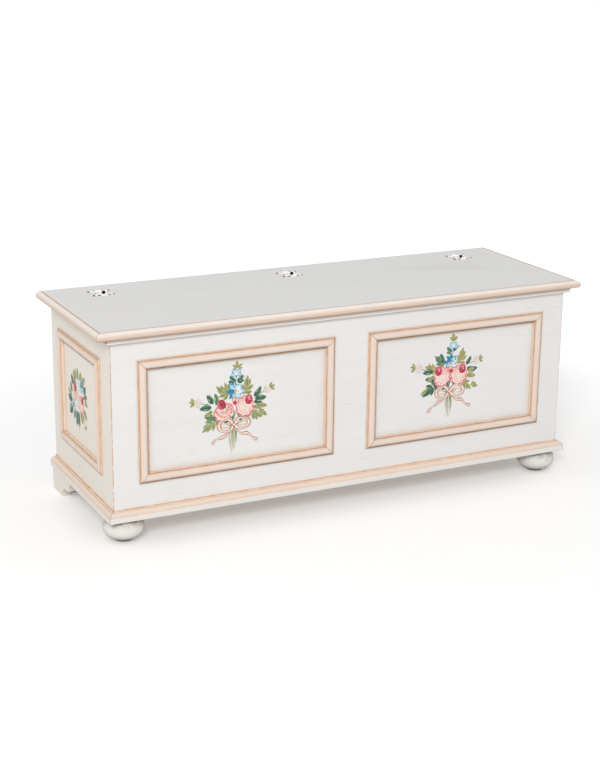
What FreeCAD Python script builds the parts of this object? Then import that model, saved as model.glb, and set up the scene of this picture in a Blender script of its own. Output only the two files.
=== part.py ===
import FreeCAD, Part
import math
import os

from FreeCAD import Vector

# Painted blanket chest: framed carcass, hinged lid with a fixed back strip, bun feet in front,
# bracket feet behind. Millimetres. X runs to the right, Y to the back, Z up; the origin lies on
# the floor under the middle of the closed chest.

# --- Carcass -------------------------------------------------------------------------------
body_width = 1225.0
body_depth = 430.0
carcass_height = 437.0
foot_height = 61.0
frame_thickness = 22.0
top_rail_height = 57.0
bottom_rail_height = 84.0
side_top_rail_height = 64.0
side_bottom_rail_height = 91.0
end_stile_width = 63.5
centre_stile_width = 92.0
side_front_stile_width = 72.0
side_rear_stile_width = 58.0
back_rail_height = 90.0

panel_thickness = 9.0
panel_recess = 4.0
groove_depth = 8.0
panel_edge_gap = 1.5
back_panel_thickness = 8.0
back_panel_recess = 6.0

tenon_thickness = 8.0
tenon_length = 30.0
tenon_shoulder = 14.0
tenon_end_gap = 1.0

# --- Floor of the chest --------------------------------------------------------------------
floor_thickness = 12.0
floor_side_gap = 0.5
cleat_width = 20.0
cleat_height = 25.0
foot_block_size = 70.0
foot_block_height = 31.0

# --- Applied mouldings ---------------------------------------------------------------------
panel_moulding_width = 24.0
panel_moulding_height = 12.5
panel_moulding_flank = 8.0
panel_moulding_quirk = 2.2
base_moulding_projection = 16.0
base_moulding_height = 27.0
base_moulding_band = 14.0
base_moulding_cove = 4.5
base_moulding_fillet = 2.0
cornice_projection = 14.0
cornice_height = 11.0
cornice_bead = 4.4
cornice_root = 10.0
cornice_lip = 1.0
quirk_depth = 0.8

# --- Lid and fixed back strip --------------------------------------------------------------
lid_thickness = 18.0
lid_seat_gap = 0.3
lid_seam = 0.8
back_strip_width = 83.0
top_front_overhang = 7.0
top_side_overhang = 24.5
nose_projection = 13.0
nose_waist_height = 7.5
nose_tuck = 5.0
nose_quirk_width = 1.4
nose_quirk_depth = 1.0

# --- Feet ----------------------------------------------------------------------------------
bun_radius = 49.0
bun_waist_height = 32.0
bun_base_radius = 23.0
bun_base_height = 3.0
bun_under_height = 12.0
bun_shoulder_height = 52.0
bun_shoulder_radius = 37.0
bun_neck_radius = 33.0
bun_neck_height = 3.0
bun_inset = 35.0
spigot_radius = 10.0
spigot_length = 25.0
spigot_fit = 0.15
glide_radius = 16.5
glide_thickness = 2.0

bracket_thickness = 24.0
bracket_overhang = 10.5
bracket_toe_length = 71.0
bracket_arch_reach = 26.0
bracket_arch_height = 26.0
bracket_cusp_reach = 28.0
bracket_cusp_height = 30.5
bracket_end_reach = 27.0
bracket_end_rise = 26.5
rear_block_size = 54.0

# --- Hinges --------------------------------------------------------------------------------
hinge_spacing = 510.0
hinge_leaf_thickness = 1.5
hinge_leaf_reach = 31.0
hinge_wing_half = 28.0
hinge_wing_root_reach = 18.0
hinge_wing_edge_reach = 26.0
hinge_wing_tip = 4.0
hinge_notch_reach = 23.5
hinge_lobe_half = 12.0
hinge_root_half = 15.0
hinge_knuckle_radius = 2.6
hinge_knuckle_lift = 0.3
hinge_knuckle_gap = 0.3
hinge_middle_knuckle = 11.0
hinge_pin_radius = 1.2
hinge_pin_fit = 0.05
hinge_pin_cap_radius = 2.1
hinge_pin_cap_length = 1.6
screw_shank_radius = 1.3
screw_head_radius = 2.9
screw_head_depth = 1.2
screw_length = 13.0
screw_fit = 0.05
screw_outer_offset = 19.0
screw_outer_reach = 20.5
screw_inner_reach = 22.0

# --- Places worked out from the sizes ------------------------------------------------------
lid_overhang_front = top_front_overhang + nose_projection
overall_depth = lid_overhang_front + body_depth
front_y = lid_overhang_front - overall_depth / 2
back_y = overall_depth / 2
left_x = -body_width / 2
right_x = body_width / 2
carcass_bottom = foot_height
carcass_top = foot_height + carcass_height
lid_bottom = carcass_top + lid_seat_gap
top_z = lid_bottom + lid_thickness
front_opening_z = (carcass_bottom + bottom_rail_height, carcass_top - top_rail_height)
side_opening_z = (carcass_bottom + side_bottom_rail_height, carcass_top - side_top_rail_height)
inner_left = left_x + frame_thickness
inner_right = right_x - frame_thickness
inner_front = front_y + frame_thickness
inner_back = back_y - frame_thickness
floor_bottom = carcass_bottom + foot_block_height
top_half_width = body_width / 2 + top_side_overhang
top_front_y = front_y - top_front_overhang
hinge_y = back_y - back_strip_width
lid_back_y = hinge_y - lid_seam / 2
strip_front_y = hinge_y + lid_seam / 2
pin_z = top_z + hinge_knuckle_lift + hinge_knuckle_radius
hinge_places = (-hinge_spacing, 0.0, hinge_spacing)
bun_x = body_width / 2 - bun_inset
bun_y = front_y + bun_inset

cut_margin = 2.0
up = Vector(0, 0, 1)
nodes = {}


def box_between(a, b):
    low = Vector(min(a.x, b.x), min(a.y, b.y), min(a.z, b.z))
    high = Vector(max(a.x, b.x), max(a.y, b.y), max(a.z, b.z))
    return Part.makeBox(high.x - low.x, high.y - low.y, high.z - low.z, low)


def box(x_span, y_span, z_span):
    return box_between(Vector(x_span[0], y_span[0], z_span[0]), Vector(x_span[1], y_span[1], z_span[1]))


def cylinder(radius, height, base, direction=up):
    return Part.makeCylinder(radius, height, base, direction)


def single(shape):
    return shape.Solids[0] if len(shape.Solids) == 1 else shape


class Wall:
    # One side of the carcass: u runs along it, d from its outer face inwards, z up.
    def __init__(self, origin, along, inward):
        self.origin = origin
        self.along = along
        self.inward = inward

    def point(self, u, d, z):
        return self.origin + self.along * u + self.inward * d + up * z

    def block(self, u_span, d_span, z_span):
        low = self.point(u_span[0], d_span[0], z_span[0])
        high = self.point(u_span[1], d_span[1], z_span[1])
        return box_between(low, high)


front_wall = Wall(Vector(0, front_y, 0), Vector(1, 0, 0), Vector(0, 1, 0))
back_wall = Wall(Vector(0, back_y, 0), Vector(1, 0, 0), Vector(0, -1, 0))
left_wall = Wall(Vector(left_x, 0, 0), Vector(0, 1, 0), Vector(1, 0, 0))
right_wall = Wall(Vector(right_x, 0, 0), Vector(0, 1, 0), Vector(-1, 0, 0))


def panel_solid(wall, opening, z_span, recess, thickness, gap):
    # A panel, or with no gap the groove it slides into.
    reach = groove_depth - gap
    return wall.block(
        (opening[0] - reach, opening[1] + reach),
        (recess, recess + thickness),
        (z_span[0] - reach, z_span[1] + reach),
    )


def tenon(wall, stile_span, edge_z, direction, end_gap):
    # The tongue on a stile's end, or with an end gap the mortise in the rail.
    inset = (frame_thickness - tenon_thickness) / 2
    return wall.block(
        (stile_span[0] + tenon_shoulder, stile_span[1] - tenon_shoulder),
        (inset, inset + tenon_thickness),
        (edge_z, edge_z + direction * (tenon_length + end_gap)),
    )


def framed_wall(side, wall, span, z_span, openings, opening_names, stile_names):
    # Rails run the full length, stiles stand between them on tenons, panels sit in grooves.
    low, high = z_span
    edges = [span[0]] + [u for opening in openings for u in opening] + [span[1]]
    stile_spans = list(zip(edges[0::2], edges[1::2]))
    grooves = [panel_solid(wall, o, z_span, panel_recess, panel_thickness, 0.0) for o in openings]
    depth = (0.0, frame_thickness)
    top_rail = wall.block(span, depth, (high, carcass_top)).cut(grooves)
    bottom_rail = wall.block(span, depth, (carcass_bottom, low)).cut(grooves)
    for stile_span, name in zip(stile_spans, stile_names):
        stile = wall.block(stile_span, depth, z_span).cut(grooves)
        stile = stile.fuse(tenon(wall, stile_span, high, 1, 0.0))
        stile = stile.fuse(tenon(wall, stile_span, low, -1, 0.0))
        nodes[f"{side}_{name}_stile"] = stile.removeSplitter()
        top_rail = top_rail.cut(tenon(wall, stile_span, high, 1, tenon_end_gap))
        bottom_rail = bottom_rail.cut(tenon(wall, stile_span, low, -1, tenon_end_gap))
    nodes[f"{side}_top_rail"] = top_rail
    nodes[f"{side}_bottom_rail"] = bottom_rail
    for opening, name in zip(openings, opening_names):
        nodes[name] = panel_solid(wall, opening, z_span, panel_recess, panel_thickness, panel_edge_gap)


# --- Carcass frames ------------------------------------------------------------------------
left_opening = (left_x + end_stile_width, -centre_stile_width / 2)
right_opening = (centre_stile_width / 2, right_x - end_stile_width)
side_opening = (front_y + side_front_stile_width, back_y - side_rear_stile_width)

framed_wall("front", front_wall, (left_x, right_x), front_opening_z, [left_opening, right_opening],
            ["front_left_panel", "front_right_panel"], ["left", "centre", "right"])
framed_wall("left", left_wall, (inner_front, back_y), side_opening_z, [side_opening],
            ["left_panel"], ["front", "rear"])
framed_wall("right", right_wall, (inner_front, back_y), side_opening_z, [side_opening],
            ["right_panel"], ["front", "rear"])


def build_back():
    # Two rails between the sides, with one wide panel grooved into them and the rear stiles.
    span = (inner_left, inner_right)
    depth = (0.0, frame_thickness)
    z_span = (carcass_bottom + back_rail_height, carcass_top - back_rail_height)
    groove = panel_solid(back_wall, span, z_span, back_panel_recess, back_panel_thickness, 0.0)
    nodes["back_top_rail"] = back_wall.block(span, depth, (z_span[1], carcass_top)).cut(groove)
    nodes["back_bottom_rail"] = back_wall.block(span, depth, (carcass_bottom, z_span[0])).cut(groove)
    nodes["back_panel"] = panel_solid(
        back_wall, span, z_span, back_panel_recess, back_panel_thickness, panel_edge_gap)
    for name in ("left_rear_stile", "right_rear_stile"):
        nodes[name] = nodes[name].cut(groove)
    for name in ("left_top_rail", "right_top_rail", "left_bottom_rail", "right_bottom_rail"):
        nodes[name] = nodes[name].cut(groove)


build_back()


# --- Floor of the chest --------------------------------------------------------------------
def build_floor():
    nodes["bottom_board"] = box(
        (inner_left + floor_side_gap, inner_right - floor_side_gap),
        (inner_front + floor_side_gap, inner_back - floor_side_gap),
        (floor_bottom, floor_bottom + floor_thickness))
    cleat_z = (floor_bottom - cleat_height, floor_bottom)
    block_x = inner_right - foot_block_size
    block_y = inner_front + foot_block_size
    nodes["front_cleat"] = box((-block_x, block_x), (inner_front, inner_front + cleat_width), cleat_z)
    nodes["left_cleat"] = box((inner_left, inner_left + cleat_width), (block_y, inner_back), cleat_z)
    nodes["right_cleat"] = box((inner_right - cleat_width, inner_right), (block_y, inner_back), cleat_z)
    nodes["back_cleat"] = box(
        (inner_left + cleat_width, inner_right - cleat_width),
        (inner_back - cleat_width, inner_back), cleat_z)
    blocks = []
    for side in (-1, 1):
        block = box((side * block_x, side * inner_right), (inner_front, block_y),
                    (carcass_bottom, floor_bottom))
        hole = cylinder(spigot_radius + spigot_fit, spigot_length + spigot_fit,
                        Vector(side * bun_x, bun_y, carcass_bottom))
        blocks.append(single(block.cut(hole)))
    nodes["front_foot_blocks"] = Part.makeCompound(blocks)


build_floor()


# --- Mouldings -----------------------------------------------------------------------------
def profile_face(origin, across, normal, start, steps):
    # A closed section in (across, normal). A step is a line's end, or the corner and the end of
    # a quarter round, which leaves towards the corner and arrives from it.
    def place(point):
        return origin + across * point[0] + normal * point[1]

    edges = []
    here = start
    for step in steps:
        if isinstance(step[0], tuple):
            corner, end = step
            curve = Part.BezierCurve()
            curve.setPoles([place(here), place(corner), place(end)])
            curve.setWeight(2, math.cos(math.pi / 4))
            edges.append(curve.toShape())
        else:
            end = step
            edges.append(Part.LineSegment(place(here), place(end)).toShape())
        here = end
    edges.append(Part.LineSegment(place(here), place(start)).toShape())
    return Part.Face(Part.Wire(edges))


def moulding(profile, size, start, along, across, normal, length, grow_start, grow_end):
    # A length of moulding. Each end is square (0), or mitred so that it gets longer (1) or
    # shorter (-1) as it goes across.
    width, height = size
    run_out = width + cut_margin
    first_point, steps = profile
    section = profile_face(start - along * run_out, across, normal, first_point, steps)
    bar = section.extrude(along * (length + 2 * run_out))
    corners = []
    for a, end in ((-cut_margin, 0), (-cut_margin, 1), (run_out, 1), (run_out, 0)):
        u = length + grow_end * a if end else -grow_start * a
        corners.append(start + along * u + across * a - normal * cut_margin)
    plan = Part.Face(Part.makePolygon(corners + corners[:1]))
    prism = plan.extrude(normal * (height + 2 * cut_margin))
    return single(bar.common(prism))


def panel_moulding_profile():
    # A low flank each side and a broad bead between two quirks.
    w = panel_moulding_width
    h = panel_moulding_height
    flank = panel_moulding_flank
    quirk = panel_moulding_quirk
    low = flank - quirk_depth
    return (0.0, 0.0), [
        (0.0, flank),
        (quirk, flank),
        (quirk, low),
        ((quirk, h), (w / 2, h)),
        ((w - quirk, h), (w - quirk, low)),
        (w - quirk, flank),
        (w, flank),
        (w, 0.0),
    ]


def base_moulding_profile():
    # Plain band below, then an ovolo, a quirk and a small cove up to the carcass.
    p = base_moulding_projection
    h = base_moulding_height
    band = base_moulding_band
    fillet = base_moulding_fillet
    shoulder = h - base_moulding_cove
    ovolo_root = fillet + base_moulding_cove
    return (0.0, 0.0), [
        (p, 0.0),
        (p, band),
        (p - quirk_depth, band),
        ((p - quirk_depth, shoulder), (ovolo_root, shoulder)),
        (ovolo_root, shoulder - quirk_depth),
        (ovolo_root - quirk_depth, shoulder - quirk_depth),
        ((fillet, shoulder - quirk_depth), (fillet, h - quirk_depth)),
        (fillet, h),
        (0.0, h),
    ]


def cornice_profile():
    # A bead at the bottom edge and a cove that flares out under the lid.
    p = cornice_projection
    h = cornice_height
    root = cornice_root
    bead = cornice_bead
    bulge = root + bead / 2
    return (0.0, 0.0), [
        (root, 0.0),
        ((bulge, 0.0), (bulge, bead / 2)),
        ((bulge, bead), (root, bead)),
        ((root, h - cornice_lip), (p, h - cornice_lip)),
        (p, h),
        (0.0, h),
    ]


def nose_profile():
    # Round nose, fullest at its waist and tucked in below, with a quirk beside the flat top.
    p = nose_projection
    h = lid_thickness
    return (0.0, 0.0), [
        (p - nose_tuck, 0.0),
        ((p, 0.0), (p, nose_waist_height)),
        ((p, h), (nose_quirk_width, h)),
        (nose_quirk_width, h - nose_quirk_depth),
        (0.0, h - nose_quirk_depth),
    ]


def build_panel_mouldings():
    # Four mitred lengths inside each opening, glued over the panel's edge.
    width = panel_moulding_width
    height = panel_moulding_height
    places = (
        ("front_left", front_wall, left_opening, front_opening_z),
        ("front_right", front_wall, right_opening, front_opening_z),
        ("left", left_wall, side_opening, side_opening_z),
        ("right", right_wall, side_opening, side_opening_z),
    )
    for name, wall, opening, z_span in places:
        u0, u1 = opening
        z0, z1 = z_span
        runs = {
            "rails": ((u0, z0, wall.along, up, u1 - u0), (u0, z1, wall.along, -up, u1 - u0)),
            "stiles": ((u0, z0, up, wall.along, z1 - z0), (u1, z0, up, -wall.along, z1 - z0)),
        }
        for kind, pair in runs.items():
            pieces = []
            for u, z, along, across, length in pair:
                start = wall.point(u, panel_recess, z)
                pieces.append(moulding(panel_moulding_profile(), (width, height), start,
                                       along, across, -wall.inward, length, -1, -1))
            nodes[f"{name}_panel_moulding_{kind}"] = Part.makeCompound(pieces)


def build_wrapping_moulding(name, profile, size, z, half_width, y_front, y_back):
    # Front, left and right lengths round the chest, mitred at the front corners.
    start = Vector(-half_width, y_front, z)
    depth = y_back - y_front
    right = Vector(1, 0, 0)
    back = Vector(0, 1, 0)
    nodes[f"{name}_front"] = moulding(profile, size, start, right, -back, up, 2 * half_width, 1, 1)
    nodes[f"{name}_left"] = moulding(profile, size, start, back, -right, up, depth, 1, 0)
    far = Vector(half_width, y_front, z)
    nodes[f"{name}_right"] = moulding(profile, size, far, back, right, up, depth, 1, 0)


build_panel_mouldings()
build_wrapping_moulding("base_moulding", base_moulding_profile(),
                        (base_moulding_projection, base_moulding_height),
                        carcass_bottom, body_width / 2, front_y, back_y)
build_wrapping_moulding("cornice", cornice_profile(), (cornice_projection, cornice_height),
                        carcass_top - cornice_height, body_width / 2, front_y, back_y)


# --- Lid and back strip --------------------------------------------------------------------
def build_top():
    nose_size = (nose_projection, lid_thickness)
    span = (-top_half_width, top_half_width)
    nodes["lid_board"] = box(span, (top_front_y, lid_back_y), (lid_bottom, top_z))
    build_wrapping_moulding("lid_edge", nose_profile(), nose_size, lid_bottom,
                            top_half_width, top_front_y, lid_back_y)
    nodes["back_strip"] = box(span, (strip_front_y, back_y), (carcass_top, top_z))
    length = back_y - strip_front_y
    for name, side in (("left", -1), ("right", 1)):
        start = Vector(side * top_half_width, strip_front_y, lid_bottom)
        nodes[f"back_strip_edge_{name}"] = moulding(
            nose_profile(), nose_size, start, Vector(0, 1, 0), Vector(side, 0, 0), up, length, 0, 0)


build_top()


# --- Feet ----------------------------------------------------------------------------------
def bun_foot(x, y):
    # Turned bun with a short neck and a spigot that goes up into the corner block.
    base_top = glide_thickness + bun_base_height
    neck_z = foot_height - bun_neck_height
    steps = [
        (bun_base_radius, glide_thickness),
        (bun_base_radius, base_top),
        ((bun_radius, bun_under_height), (bun_radius, bun_waist_height)),
        ((bun_radius, bun_shoulder_height), (bun_shoulder_radius, neck_z)),
        (bun_neck_radius, neck_z),
        (bun_neck_radius, foot_height),
        (spigot_radius, foot_height),
        (spigot_radius, foot_height + spigot_length),
        (0.0, foot_height + spigot_length),
    ]
    section = profile_face(Vector(x, y, 0), Vector(1, 0, 0), up, (0.0, glide_thickness), steps)
    return single(section.revolve(Vector(x, y, 0), up, 360))


def bracket_foot(side):
    # Side bracket: a flat toe, a quarter arch, a ledge with a cusp and a last arch.
    x_outer = side * (body_width / 2 + bracket_overhang)
    arch_end = bracket_toe_length + bracket_arch_reach
    cusp = arch_end + bracket_cusp_reach
    front_end = cusp + bracket_end_reach
    end_height = bracket_cusp_height + bracket_end_rise
    steps = [
        (bracket_toe_length, 0.0),
        ((bracket_toe_length, bracket_arch_height), (arch_end, bracket_arch_height)),
        (cusp, bracket_cusp_height),
        ((cusp, end_height), (front_end, end_height)),
        (front_end, foot_height),
        (0.0, foot_height),
    ]
    section = profile_face(Vector(x_outer, back_y, 0), Vector(0, -1, 0), up, (0.0, 0.0), steps)
    return section.extrude(Vector(-side * bracket_thickness, 0, 0))


def build_feet():
    glides = []
    rear_blocks = []
    block_outer = body_width / 2 + bracket_overhang - bracket_thickness
    for name, side in (("left", -1), ("right", 1)):
        nodes[f"front_{name}_bun_foot"] = bun_foot(side * bun_x, bun_y)
        glides.append(cylinder(glide_radius, glide_thickness, Vector(side * bun_x, bun_y, 0)))
        nodes[f"rear_{name}_bracket_foot"] = bracket_foot(side)
        rear_blocks.append(box((side * block_outer, side * (block_outer - rear_block_size)),
                               (back_y - rear_block_size, back_y), (0.0, foot_height)))
    nodes["front_foot_glides"] = Part.makeCompound(glides)
    nodes["rear_foot_blocks"] = Part.makeCompound(rear_blocks)


build_feet()


# --- Hinges --------------------------------------------------------------------------------
def screw_spots(x, direction):
    # Two screws near the wing tips and one nearer the knuckles.
    return (
        Vector(x - screw_outer_offset, hinge_y + direction * screw_outer_reach, top_z),
        Vector(x, hinge_y + direction * screw_inner_reach, top_z),
        Vector(x + screw_outer_offset, hinge_y + direction * screw_outer_reach, top_z),
    )


def knuckle(x0, x1, radius):
    return cylinder(radius, x1 - x0, Vector(x0, hinge_y, pin_z), Vector(1, 0, 0))


def head_cone(spot):
    top = spot + up * hinge_leaf_thickness
    return Part.makeCone(screw_head_radius, screw_shank_radius, screw_head_depth, top, -up)


def screw(spot):
    shank = cylinder(screw_shank_radius, screw_length + hinge_leaf_thickness,
                     spot - up * screw_length)
    return single(shank.fuse(head_cone(spot)).removeSplitter())


def hinge_leaf(x, direction, knuckle_spans):
    # Butterfly leaf: narrow at the knuckles, flaring to two wing tips with a lobe between them.
    near = hinge_knuckle_radius + hinge_knuckle_gap
    root = hinge_root_half
    wing = hinge_wing_half
    edge = hinge_wing_edge_reach
    tip = hinge_wing_tip
    lobe = hinge_lobe_half
    steps = [
        ((-root, hinge_wing_root_reach), (-wing, hinge_wing_root_reach)),
        (-wing, edge - tip),
        ((-wing, edge), (-wing + tip, edge)),
        (-lobe, hinge_notch_reach),
        ((-lobe, hinge_leaf_reach), (0.0, hinge_leaf_reach)),
        ((lobe, hinge_leaf_reach), (lobe, hinge_notch_reach)),
        (wing - tip, edge),
        ((wing, edge), (wing, edge - tip)),
        (wing, hinge_wing_root_reach),
        ((root, hinge_wing_root_reach), (root, near)),
    ]
    outline = profile_face(Vector(x, hinge_y, top_z), Vector(1, 0, 0), Vector(0, direction, 0),
                           (-root, near), steps)
    leaf = outline.extrude(up * hinge_leaf_thickness)
    for x0, x1 in knuckle_spans:
        tab = box((x0, x1), (hinge_y, hinge_y + direction * (near + cut_margin)),
                  (top_z, top_z + hinge_leaf_thickness))
        leaf = leaf.fuse(knuckle(x0, x1, hinge_knuckle_radius)).fuse(tab)
    leaf = leaf.cut(knuckle(x - wing, x + wing, hinge_pin_radius + hinge_pin_fit))
    for spot in screw_spots(x, direction):
        leaf = leaf.cut(cylinder(screw_shank_radius + screw_fit, 2 * cut_margin, spot - up * cut_margin))
        leaf = leaf.cut(head_cone(spot))
    return single(leaf.removeSplitter())


def hinge_pin(x):
    reach = hinge_root_half + hinge_knuckle_gap
    pin = knuckle(x - reach, x + reach, hinge_pin_radius)
    for start in (x - reach - hinge_pin_cap_length, x + reach):
        pin = pin.fuse(knuckle(start, start + hinge_pin_cap_length, hinge_pin_cap_radius))
    return single(pin.removeSplitter())


def build_hinges():
    half = hinge_middle_knuckle / 2
    fixed_leaves = []
    lid_leaves = []
    pins = []
    screws = {1: [], -1: []}
    for x in hinge_places:
        outer = ((x - hinge_root_half, x - half - hinge_knuckle_gap),
                 (x + half + hinge_knuckle_gap, x + hinge_root_half))
        middle = ((x - half, x + half),)
        fixed_leaves.append(hinge_leaf(x, 1, outer))
        lid_leaves.append(hinge_leaf(x, -1, middle))
        pins.append(hinge_pin(x))
        for direction, board in ((1, "back_strip"), (-1, "lid_board")):
            for spot in screw_spots(x, direction):
                hole = cylinder(screw_shank_radius + screw_fit, screw_length + screw_fit,
                                spot - up * (screw_length + screw_fit))
                nodes[board] = nodes[board].cut(hole)
                screws[direction].append(screw(spot))
    nodes["hinge_fixed_leaves"] = Part.makeCompound(fixed_leaves)
    nodes["hinge_lid_leaves"] = Part.makeCompound(lid_leaves)
    nodes["hinge_pins"] = Part.makeCompound(pins)
    nodes["hinge_screws_fixed"] = Part.makeCompound(screws[1])
    nodes["hinge_screws_lid"] = Part.makeCompound(screws[-1])


build_hinges()

os.makedirs("parts", exist_ok=True)
for node, shape in nodes.items():
    solid = single(shape)
    if not solid.isValid():
        print("not valid:", node)
    solid.exportStep(f"parts/{node}.step")
print(len(nodes), "nodes written")
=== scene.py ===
import math
import random

import bmesh
import bpy
from mathutils import Matrix, Vector


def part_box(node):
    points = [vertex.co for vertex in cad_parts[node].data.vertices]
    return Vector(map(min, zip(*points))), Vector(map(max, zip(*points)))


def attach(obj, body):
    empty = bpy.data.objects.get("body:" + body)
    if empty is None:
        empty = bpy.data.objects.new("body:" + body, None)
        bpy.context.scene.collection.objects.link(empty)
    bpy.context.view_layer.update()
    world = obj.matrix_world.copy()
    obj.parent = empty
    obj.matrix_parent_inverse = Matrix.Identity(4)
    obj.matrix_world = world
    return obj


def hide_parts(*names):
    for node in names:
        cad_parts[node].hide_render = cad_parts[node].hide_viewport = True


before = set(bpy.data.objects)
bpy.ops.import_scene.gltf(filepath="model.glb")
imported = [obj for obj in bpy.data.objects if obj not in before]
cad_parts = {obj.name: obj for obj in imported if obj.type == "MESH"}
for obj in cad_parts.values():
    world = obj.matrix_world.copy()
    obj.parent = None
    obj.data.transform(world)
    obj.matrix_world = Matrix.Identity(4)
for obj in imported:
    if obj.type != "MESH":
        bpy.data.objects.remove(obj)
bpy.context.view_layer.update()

# A long painted blanket chest: grey-white boards, pink mouldings rubbed through to tan,
# flower bunches on the panels, nickel butterfly hinges. Metres, same frame as the solids.

mm = 0.001
print("frame loaded,", len(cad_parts), "nodes")


def paintChart(red, green, blue):
    # A colour as a paint chart gives it, 0 to 255, turned into linear light.
    def linear(value):
        value /= 255
        return value / 12.92 if value <= 0.04045 else ((value + 0.055) / 1.055) ** 2.4
    return (linear(red), linear(green), linear(blue), 1.0)


def addNode(tree, kind, settings=None, inputs=None):
    # One shader node. Each input is a plain value or another node's output.
    made = tree.nodes.new(kind)
    for key, value in (settings or {}).items():
        setattr(made, key, value)
    for key, value in (inputs or {}).items():
        if isinstance(value, bpy.types.NodeSocket):
            tree.links.new(value, made.inputs[key])
        else:
            made.inputs[key].default_value = value
    return made


def calc(tree, operation, first, second=0.0, third=0.0, clamp=False):
    settings = {"operation": operation, "use_clamp": clamp}
    return addNode(tree, "ShaderNodeMath", settings, {0: first, 1: second, 2: third}).outputs[0]


def remap(tree, value, low, high, newLow=0.0, newHigh=1.0):
    return addNode(tree, "ShaderNodeMapRange", {"interpolation_type": "SMOOTHSTEP"}, {
        "Value": value, "From Min": low, "From Max": high,
        "To Min": newLow, "To Max": newHigh}).outputs["Result"]


def blendColour(tree, amount, first, second, kind="MIX"):
    made = addNode(tree, "ShaderNodeMix", {"data_type": "RGBA", "blend_type": kind})
    for socket, value in zip((made.inputs[0], made.inputs[6], made.inputs[7]), (amount, first, second)):
        if isinstance(value, bpy.types.NodeSocket):
            tree.links.new(value, socket)
        else:
            socket.default_value = value
    return made.outputs[2]


def toned(tree, colour, tone):
    # The colour made lighter or darker by a tone near 1.
    grey = addNode(tree, "ShaderNodeCombineColor", None, {0: tone, 1: tone, 2: tone}).outputs[0]
    return blendColour(tree, 1.0, colour, grey, "MULTIPLY")


def stretched(tree, vector, scale):
    return addNode(tree, "ShaderNodeVectorMath", {"operation": "MULTIPLY"},
                   {0: vector, 1: scale}).outputs[0]


def joined(tree, **parts):
    return addNode(tree, "ShaderNodeCombineXYZ", None, parts).outputs[0]


def lengthOf(tree, vector):
    return addNode(tree, "ShaderNodeVectorMath", {"operation": "LENGTH"}, {0: vector}).outputs["Value"]


def softNoise(tree, vector, scale, detail=2.0, rough=0.5):
    return addNode(tree, "ShaderNodeTexNoise", None, {
        "Vector": vector, "Scale": scale, "Detail": detail, "Roughness": rough}).outputs["Fac"]


def newGroup(name, inputs, outputs):
    tree = bpy.data.node_groups.new(name, "ShaderNodeTree")
    for label, kind, value in inputs:
        socket = tree.interface.new_socket(label, in_out="INPUT", socket_type="NodeSocket" + kind)
        if value is not None:
            socket.default_value = value
    for label, kind in outputs:
        tree.interface.new_socket(label, in_out="OUTPUT", socket_type="NodeSocket" + kind)
    return tree, tree.nodes.new("NodeGroupInput").outputs, tree.nodes.new("NodeGroupOutput").inputs


def useGroup(tree, group, inputs):
    return addNode(tree, "ShaderNodeGroup", {"node_tree": group}, inputs).outputs


# How far each kind of brush mark is drawn out along and across the grain.
streakScale = {"fine": (9.0, 300.0, 300.0), "broad": (3.0, 55.0, 55.0), "cloud": (5.0, 9.0, 9.0)}


def makeBrushStreaks():
    # Long soft streaks that a wide brush leaves, with some cloudiness under them.
    tree, given, put = newGroup(
        "brushStreaks",
        [("Grain", "Vector", None), ("Streak", "Float", 0.03), ("Cloud", "Float", 0.02)],
        [("Tone", "Float"), ("Height", "Float")])
    fine = softNoise(tree, stretched(tree, given["Grain"], streakScale["fine"]), 1.0, 4.0, 0.6)
    broad = softNoise(tree, stretched(tree, given["Grain"], streakScale["broad"]), 1.0, 3.0, 0.5)
    cloud = softNoise(tree, stretched(tree, given["Grain"], streakScale["cloud"]), 1.0, 2.0, 0.5)
    streak = calc(tree, "MULTIPLY_ADD", calc(tree, "ADD", fine, broad), 1.0, -1.0)
    tone = calc(tree, "MULTIPLY_ADD", streak, given["Streak"], 1.0)
    drift = calc(tree, "SUBTRACT", cloud, 0.5)
    tree.links.new(calc(tree, "MULTIPLY_ADD", drift, given["Cloud"], tone), put["Tone"])
    tree.links.new(calc(tree, "MULTIPLY_ADD", broad, 0.6, fine), put["Height"])
    return tree


crackShape = {"dash": (26.0, 520.0, 520.0), "dashFrom": 0.67, "dashTo": 0.74,
              "patch": (7.0, 26.0, 26.0), "patchFrom": 0.50, "patchTo": 0.66}


def makeHairCracks():
    # Sparse hairline dashes in the paint, along the grain.
    tree, given, put = newGroup(
        "hairCracks",
        [("Grain", "Vector", None), ("Amount", "Float", 0.5)], [("Mask", "Float")])
    thin = softNoise(tree, stretched(tree, given["Grain"], crackShape["dash"]), 1.0, 1.0, 0.4)
    where = softNoise(tree, stretched(tree, given["Grain"], crackShape["patch"]), 1.0, 2.0, 0.6)
    dash = remap(tree, thin, crackShape["dashFrom"], crackShape["dashTo"])
    patch = remap(tree, where, crackShape["patchFrom"], crackShape["patchTo"])
    mask = calc(tree, "MULTIPLY", calc(tree, "MULTIPLY", dash, patch), given["Amount"])
    tree.links.new(mask, put["Mask"])
    return tree


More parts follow.
